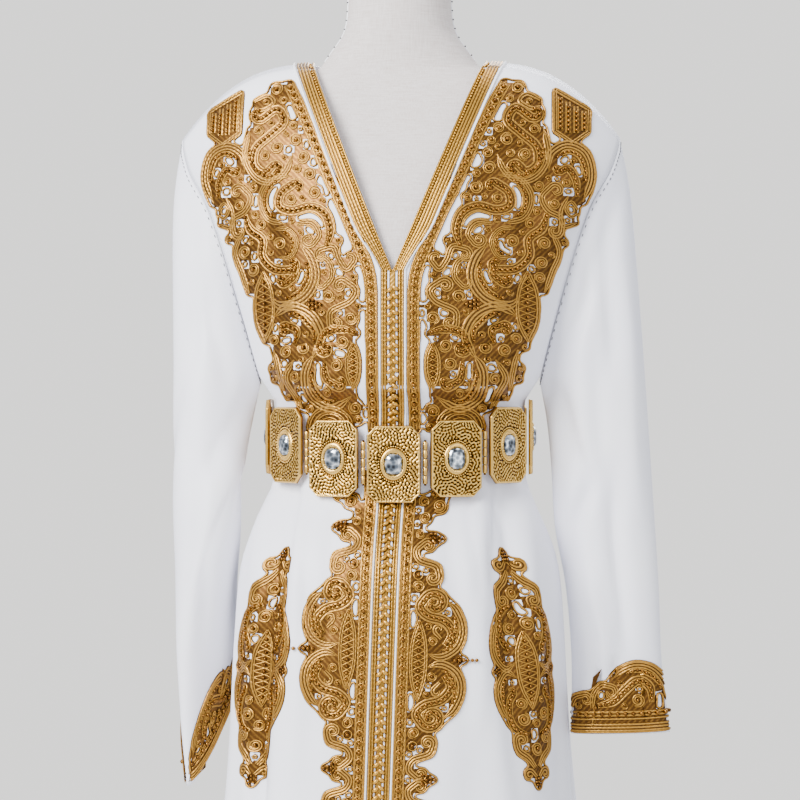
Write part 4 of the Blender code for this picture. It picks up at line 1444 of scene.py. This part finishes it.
def makePlate(k):
    columns, rows = 56, 80
    shape = newShape()
    field = labyrinth(40 + k, columns + 1, rows + 1)
    wide, tall, thick, chamfer = (plateSize[name] for name in ("width", "height", "thick", "chamfer"))
    layer = shape.verts.layers.float["crown"]
    reliefs = {}

    def place(across, up):
        i, j = round(across * columns), round(up * rows)
        z = (up - 0.5) * tall
        half = wide / 2 - max(0.0, abs(z) - (tall / 2 - chamfer))
        x = (across * 2 - 1) * half
        rim = min(half - abs(x), tall / 2 - abs(z))
        oval = sqrt((x / 0.0125) ** 2 + (z / 0.0150) ** 2)
        relief = 0.5 + 0.5 * field[j, i]
        if rim < 0.0022:
            relief = 0.9
        if oval < 1.34:
            relief = 0.15
        if oval < 1.14:
            relief = 1.5 * smooth((1.14 - oval) / 0.1)
        if oval < 0.80:
            relief = 0.2
        reliefs[(i, j)] = min(1.0, relief)
        y = -thick / 2 - relief * 0.0013
        if i in (0, columns) or j in (0, rows):
            y = thick / 2
            reliefs[(i, j)] = 0.5
        return Vector((x, y, z))

    made = laidGrid(shape, columns, rows, place, size=(wide, tall))
    # each corner's relief becomes its crown: painted shade in the pits and groove, painted highlight on the
    # ridges and rim
    for n, vert in enumerate(made):
        vert[layer] = reliefs[(n % (columns + 1), n // (columns + 1))]
    bmesh.ops.holes_fill(shape, edges=[edge for edge in shape.edges if edge.is_boundary], sides=0)
    for ring, count, size in ((1.22, 40, 0.00105), (0.90, 30, 0.0009)):
        for n in range(count):
            angle = 2 * pi * n / count
            height = 0.0034 if ring < 1 else 0.0020
            spot = Vector((0.0125 * ring * cos(angle), -height, 0.0150 * ring * sin(angle)))
            grain = bmesh.ops.create_icosphere(shape, subdivisions=1, radius=size,
                                               matrix=Matrix.Translation(spot))
            for vert in grain["verts"]:
                # the grains get a high crown: painted highlight
                vert[layer] = 0.9
    bmesh.ops.recalc_face_normals(shape, faces=shape.faces)
    node = f"belt_plate_{k:02d}"
    bmesh.ops.transform(shape, matrix=beltFrame(node), verts=shape.verts)
    addPiece("filigree " + node, shape, "plate", [node])


def makeStone(k):
    # step-cut cushion: a girdle, a ring of kites and a flat table
    shape = newShape()
    loops = []
    for scale, depth, turn in ((1.0, -0.002, 0), (1.0, 0.0002, 0), (0.86, 0.0016, 1), (0.62, 0.0029, 0)):
        ring = bmesh.ops.create_circle(shape, segments=16, radius=1)["verts"]
        for n, vert in enumerate(ring):
            angle = 2 * pi * (n + 0.5 * turn) / 16
            x = abs(cos(angle)) ** 0.7 * (1 if cos(angle) >= 0 else -1)
            z = abs(sin(angle)) ** 0.7 * (1 if sin(angle) >= 0 else -1)
            vert.co = (x * scale * stoneSize["width"] / 2, -depth, z * scale * stoneSize["height"] / 2)
        loops.append(ring)
    for low, high in zip(loops, loops[1:]):
        both = low + high
        edges = [edge for vert in both for edge in vert.link_edges if edge.other_vert(vert) in both]
        bmesh.ops.bridge_loops(shape, edges=list(set(edges)))
    bmesh.ops.contextual_create(shape, geom=loops[0])
    bmesh.ops.contextual_create(shape, geom=loops[-1])
    bmesh.ops.triangulate(shape, faces=[face for face in shape.faces if len(face.verts) == 4])
    bmesh.ops.recalc_face_normals(shape, faces=shape.faces)
    node = f"belt_stone_{k:02d}"
    bmesh.ops.transform(shape, matrix=beltFrame(node), verts=shape.verts)
    addPiece("cut " + node, shape, "crystal", [node], flatShaded=True)


def makeHinge(k):
    # five knuckles on one pin
    shape = newShape()
    length, knuckles = 0.044, 5
    for n in range(knuckles):
        spot = Matrix.Translation((0, 0, (n - 2) * length / knuckles))
        made = bmesh.ops.create_cone(shape, cap_ends=True, segments=16, radius1=0.0024, radius2=0.0024,
                                     depth=length / knuckles - 0.0007, matrix=spot)
        rims = {edge for vert in made["verts"] for edge in vert.link_edges
                if abs(edge.verts[0].co.z - edge.verts[1].co.z) < 1e-5}
        bmesh.ops.bevel(shape, geom=list(rims), offset=0.0004, affect="EDGES", segments=2, profile=0.5,
                        material=-1)
    bmesh.ops.create_cone(shape, cap_ends=True, segments=12, radius1=0.0012, radius2=0.0012,
                          depth=length + 0.003)
    layer = shape.verts.layers.float["crown"]
    # the pin and the knuckles' flat ends, which face into the gaps, get a low crown: painted shade between
    # the knuckles; the round sides stay bright gold
    for vert in shape.verts:
        vert[layer] = 0.95 if Vector((vert.co.x, vert.co.y)).length > 0.0022 else 0.3
    node = f"belt_hinge_{k:02d}"
    bmesh.ops.transform(shape, matrix=beltFrame(node), verts=shape.verts)
    addPiece("knuckled " + node, shape, "plate", [node])


for k in range(1, 13):
    makePlate(k)
    makeStone(k)
    makeHinge(k)
print("belt made")


# the dress form and its stand

form = {
    "at": [0.850, 0.862, 0.930, 1.000, 1.050, waist, underarm, 1.230, 1.275, 1.330, 1.385,
           1.425, 1.453, 1.474, 1.488, 1.497, 1.506, 1.519, 1.531, 1.543, 1.560, 1.600],
    "half": [0.130, 0.148, 0.152, 0.142, 0.126, 0.120, 0.137, 0.150, 0.159, 0.173, 0.188,
             0.194, 0.178, 0.144, 0.113, 0.0890, 0.0805, 0.0712, 0.0626, 0.0578, 0.0555, 0.0550],
    "front": [0.096, 0.112, 0.117, 0.104, 0.088, 0.085, 0.106, 0.118, 0.119, 0.110, 0.092,
              0.074, 0.064, 0.056, 0.050, 0.048, 0.047, 0.047, 0.048, 0.049, 0.050, 0.051],
    "back": [0.102, 0.118, 0.124, 0.112, 0.092, 0.087, 0.097, 0.101, 0.102, 0.101, 0.094,
             0.080, 0.067, 0.054, 0.048, 0.048, 0.048, 0.049, 0.050, 0.050, 0.050, 0.051],
}


def formPoint(turn, z, out=0.0):
    depth = column(form, "front" if cos(turn) > 0 else "back", z) + out
    return Vector(((column(form, "half", z) + out) * sin(turn), -depth * cos(turn), z))


def makeForm():
    shape = newShape()

    def place(across, up):
        return formPoint(across * 2 * pi, form["at"][0] + (form["at"][-1] - form["at"][0]) * up)

    laidGrid(shape, 96, 150, place, size=(0.9, 0.75), wrap=True)
    bmesh.ops.holes_fill(shape, edges=[edge for edge in shape.edges if edge.is_boundary], sides=0)
    bmesh.ops.recalc_face_normals(shape, faces=shape.faces)
    addPiece("linen form", shape, "linen", ["form_torso"])


def formSeams():
    # white piping up each side of the neck, with black stitches across it
    white, black = newShape(), newShape()
    for side in (-1, 1):
        def place(x, z, side=side):
            turn = side * pi / 2 + x / 60
            point = formPoint(turn, z / 1000)
            normal = Vector((sin(turn), -cos(turn), 0)).normalized()
            return point, normal

        layBand(white, place, straight((-6 * side, 1506), (-6 * side, 1597)), 3.4, 1, 1.2)
        for k in range(9):
            layBead(black, place, (-6 * side, 1512 + 9.5 * k), 1.0, 2.0, 0, 0.9)
    addPiece("form neck piping", white, "piping")
    addPiece("form neck stitches", black, "stitch")


makeForm()
formSeams()
for node, finish in (("form_neck_cap", "beech"), ("stand_base", "lacquer"), ("stand_pole", "lacquer")):
    item = frame["nodes"][node]
    item.data.materials.clear()
    item.data.materials.append(finishes[finish])
print("form made")


# the studio

def makeStage():
    settings = {"radius": 4.2, "sides": 96}
    shape = newShape()
    bmesh.ops.create_circle(shape, cap_ends=True, radius=settings["radius"], segments=settings["sides"])
    mesh = bpy.data.meshes.new("studio floor")
    shape.to_mesh(mesh)
    shape.free()
    floor = bpy.data.objects.new("studio floor", mesh)
    bpy.context.scene.collection.objects.link(floor)
    mesh.materials.append(finishes["floor"])


def makeAir():
    # an even pale wall to look at, and a cooler sky light for the pieces
    settings = {"light": "#e9edf6", "strength": 1.10, "wall": "#e1e0de", "wallStrength": 2.0}
    world = bpy.data.worlds.new("studio air")
    world.use_nodes = True
    tree = world.node_tree
    sky = tree.nodes["Background"]
    sky.inputs["Color"].default_value = rgb(settings["light"])
    sky.inputs["Strength"].default_value = settings["strength"]
    wall = addNode(tree, "ShaderNodeBackground",
                   {"Color": rgb(settings["wall"]), "Strength": settings["wallStrength"]})
    seen = addNode(tree, "ShaderNodeLightPath", {})
    mix = addNode(tree, "ShaderNodeMixShader", {})
    tree.links.new(seen.outputs["Is Camera Ray"], mix.inputs[0])
    tree.links.new(sky.outputs[0], mix.inputs[1])
    tree.links.new(wall.outputs[0], mix.inputs[2])
    tree.links.new(mix.outputs[0], tree.nodes["World Output"].inputs["Surface"])
    bpy.context.scene.world = world


def addLight(name, place, aim, size, power, colour="#ffffff"):
    lamp = bpy.data.lights.new(name, "AREA")
    lamp.shape = "RECTANGLE"
    lamp.size, lamp.size_y = size
    lamp.energy = power
    lamp.color = rgb(colour)[:3]
    made = bpy.data.objects.new(name, lamp)
    made.location = place
    made.rotation_euler = (Vector(aim) - Vector(place)).to_track_quat("-Z", "Y").to_euler()
    bpy.context.scene.collection.objects.link(made)


def makeStudio():
    makeStage()
    makeAir()
    addLight("key softbox", (-1.7, -2.2, 2.6), (0, 0, 1.15), (1.5, 1.9), 250)
    addLight("fill softbox", (2.2, -2.2, 1.7), (0, 0, 1.05), (1.4, 1.8), 22)
    addLight("top strip", (0.3, 0.4, 3.0), (0, 0, 1.0), (2.0, 0.8), 24)
    addLight("back softbox", (0.6, 2.6, 2.2), (0, 0, 1.0), (1.4, 1.4), 60)
    lens = bpy.data.cameras.new("camera")
    lens.lens, lens.sensor_width = 118, 36
    eye = bpy.data.objects.new("camera", lens)
    turn = radians(3.5)
    eye.location = (sin(turn) * 2.8, -cos(turn) * 2.8, 1.145)
    eye.rotation_euler = (pi / 2, 0, turn)
    bpy.context.scene.collection.objects.link(eye)
    bpy.context.scene.camera = eye


makeStudio()
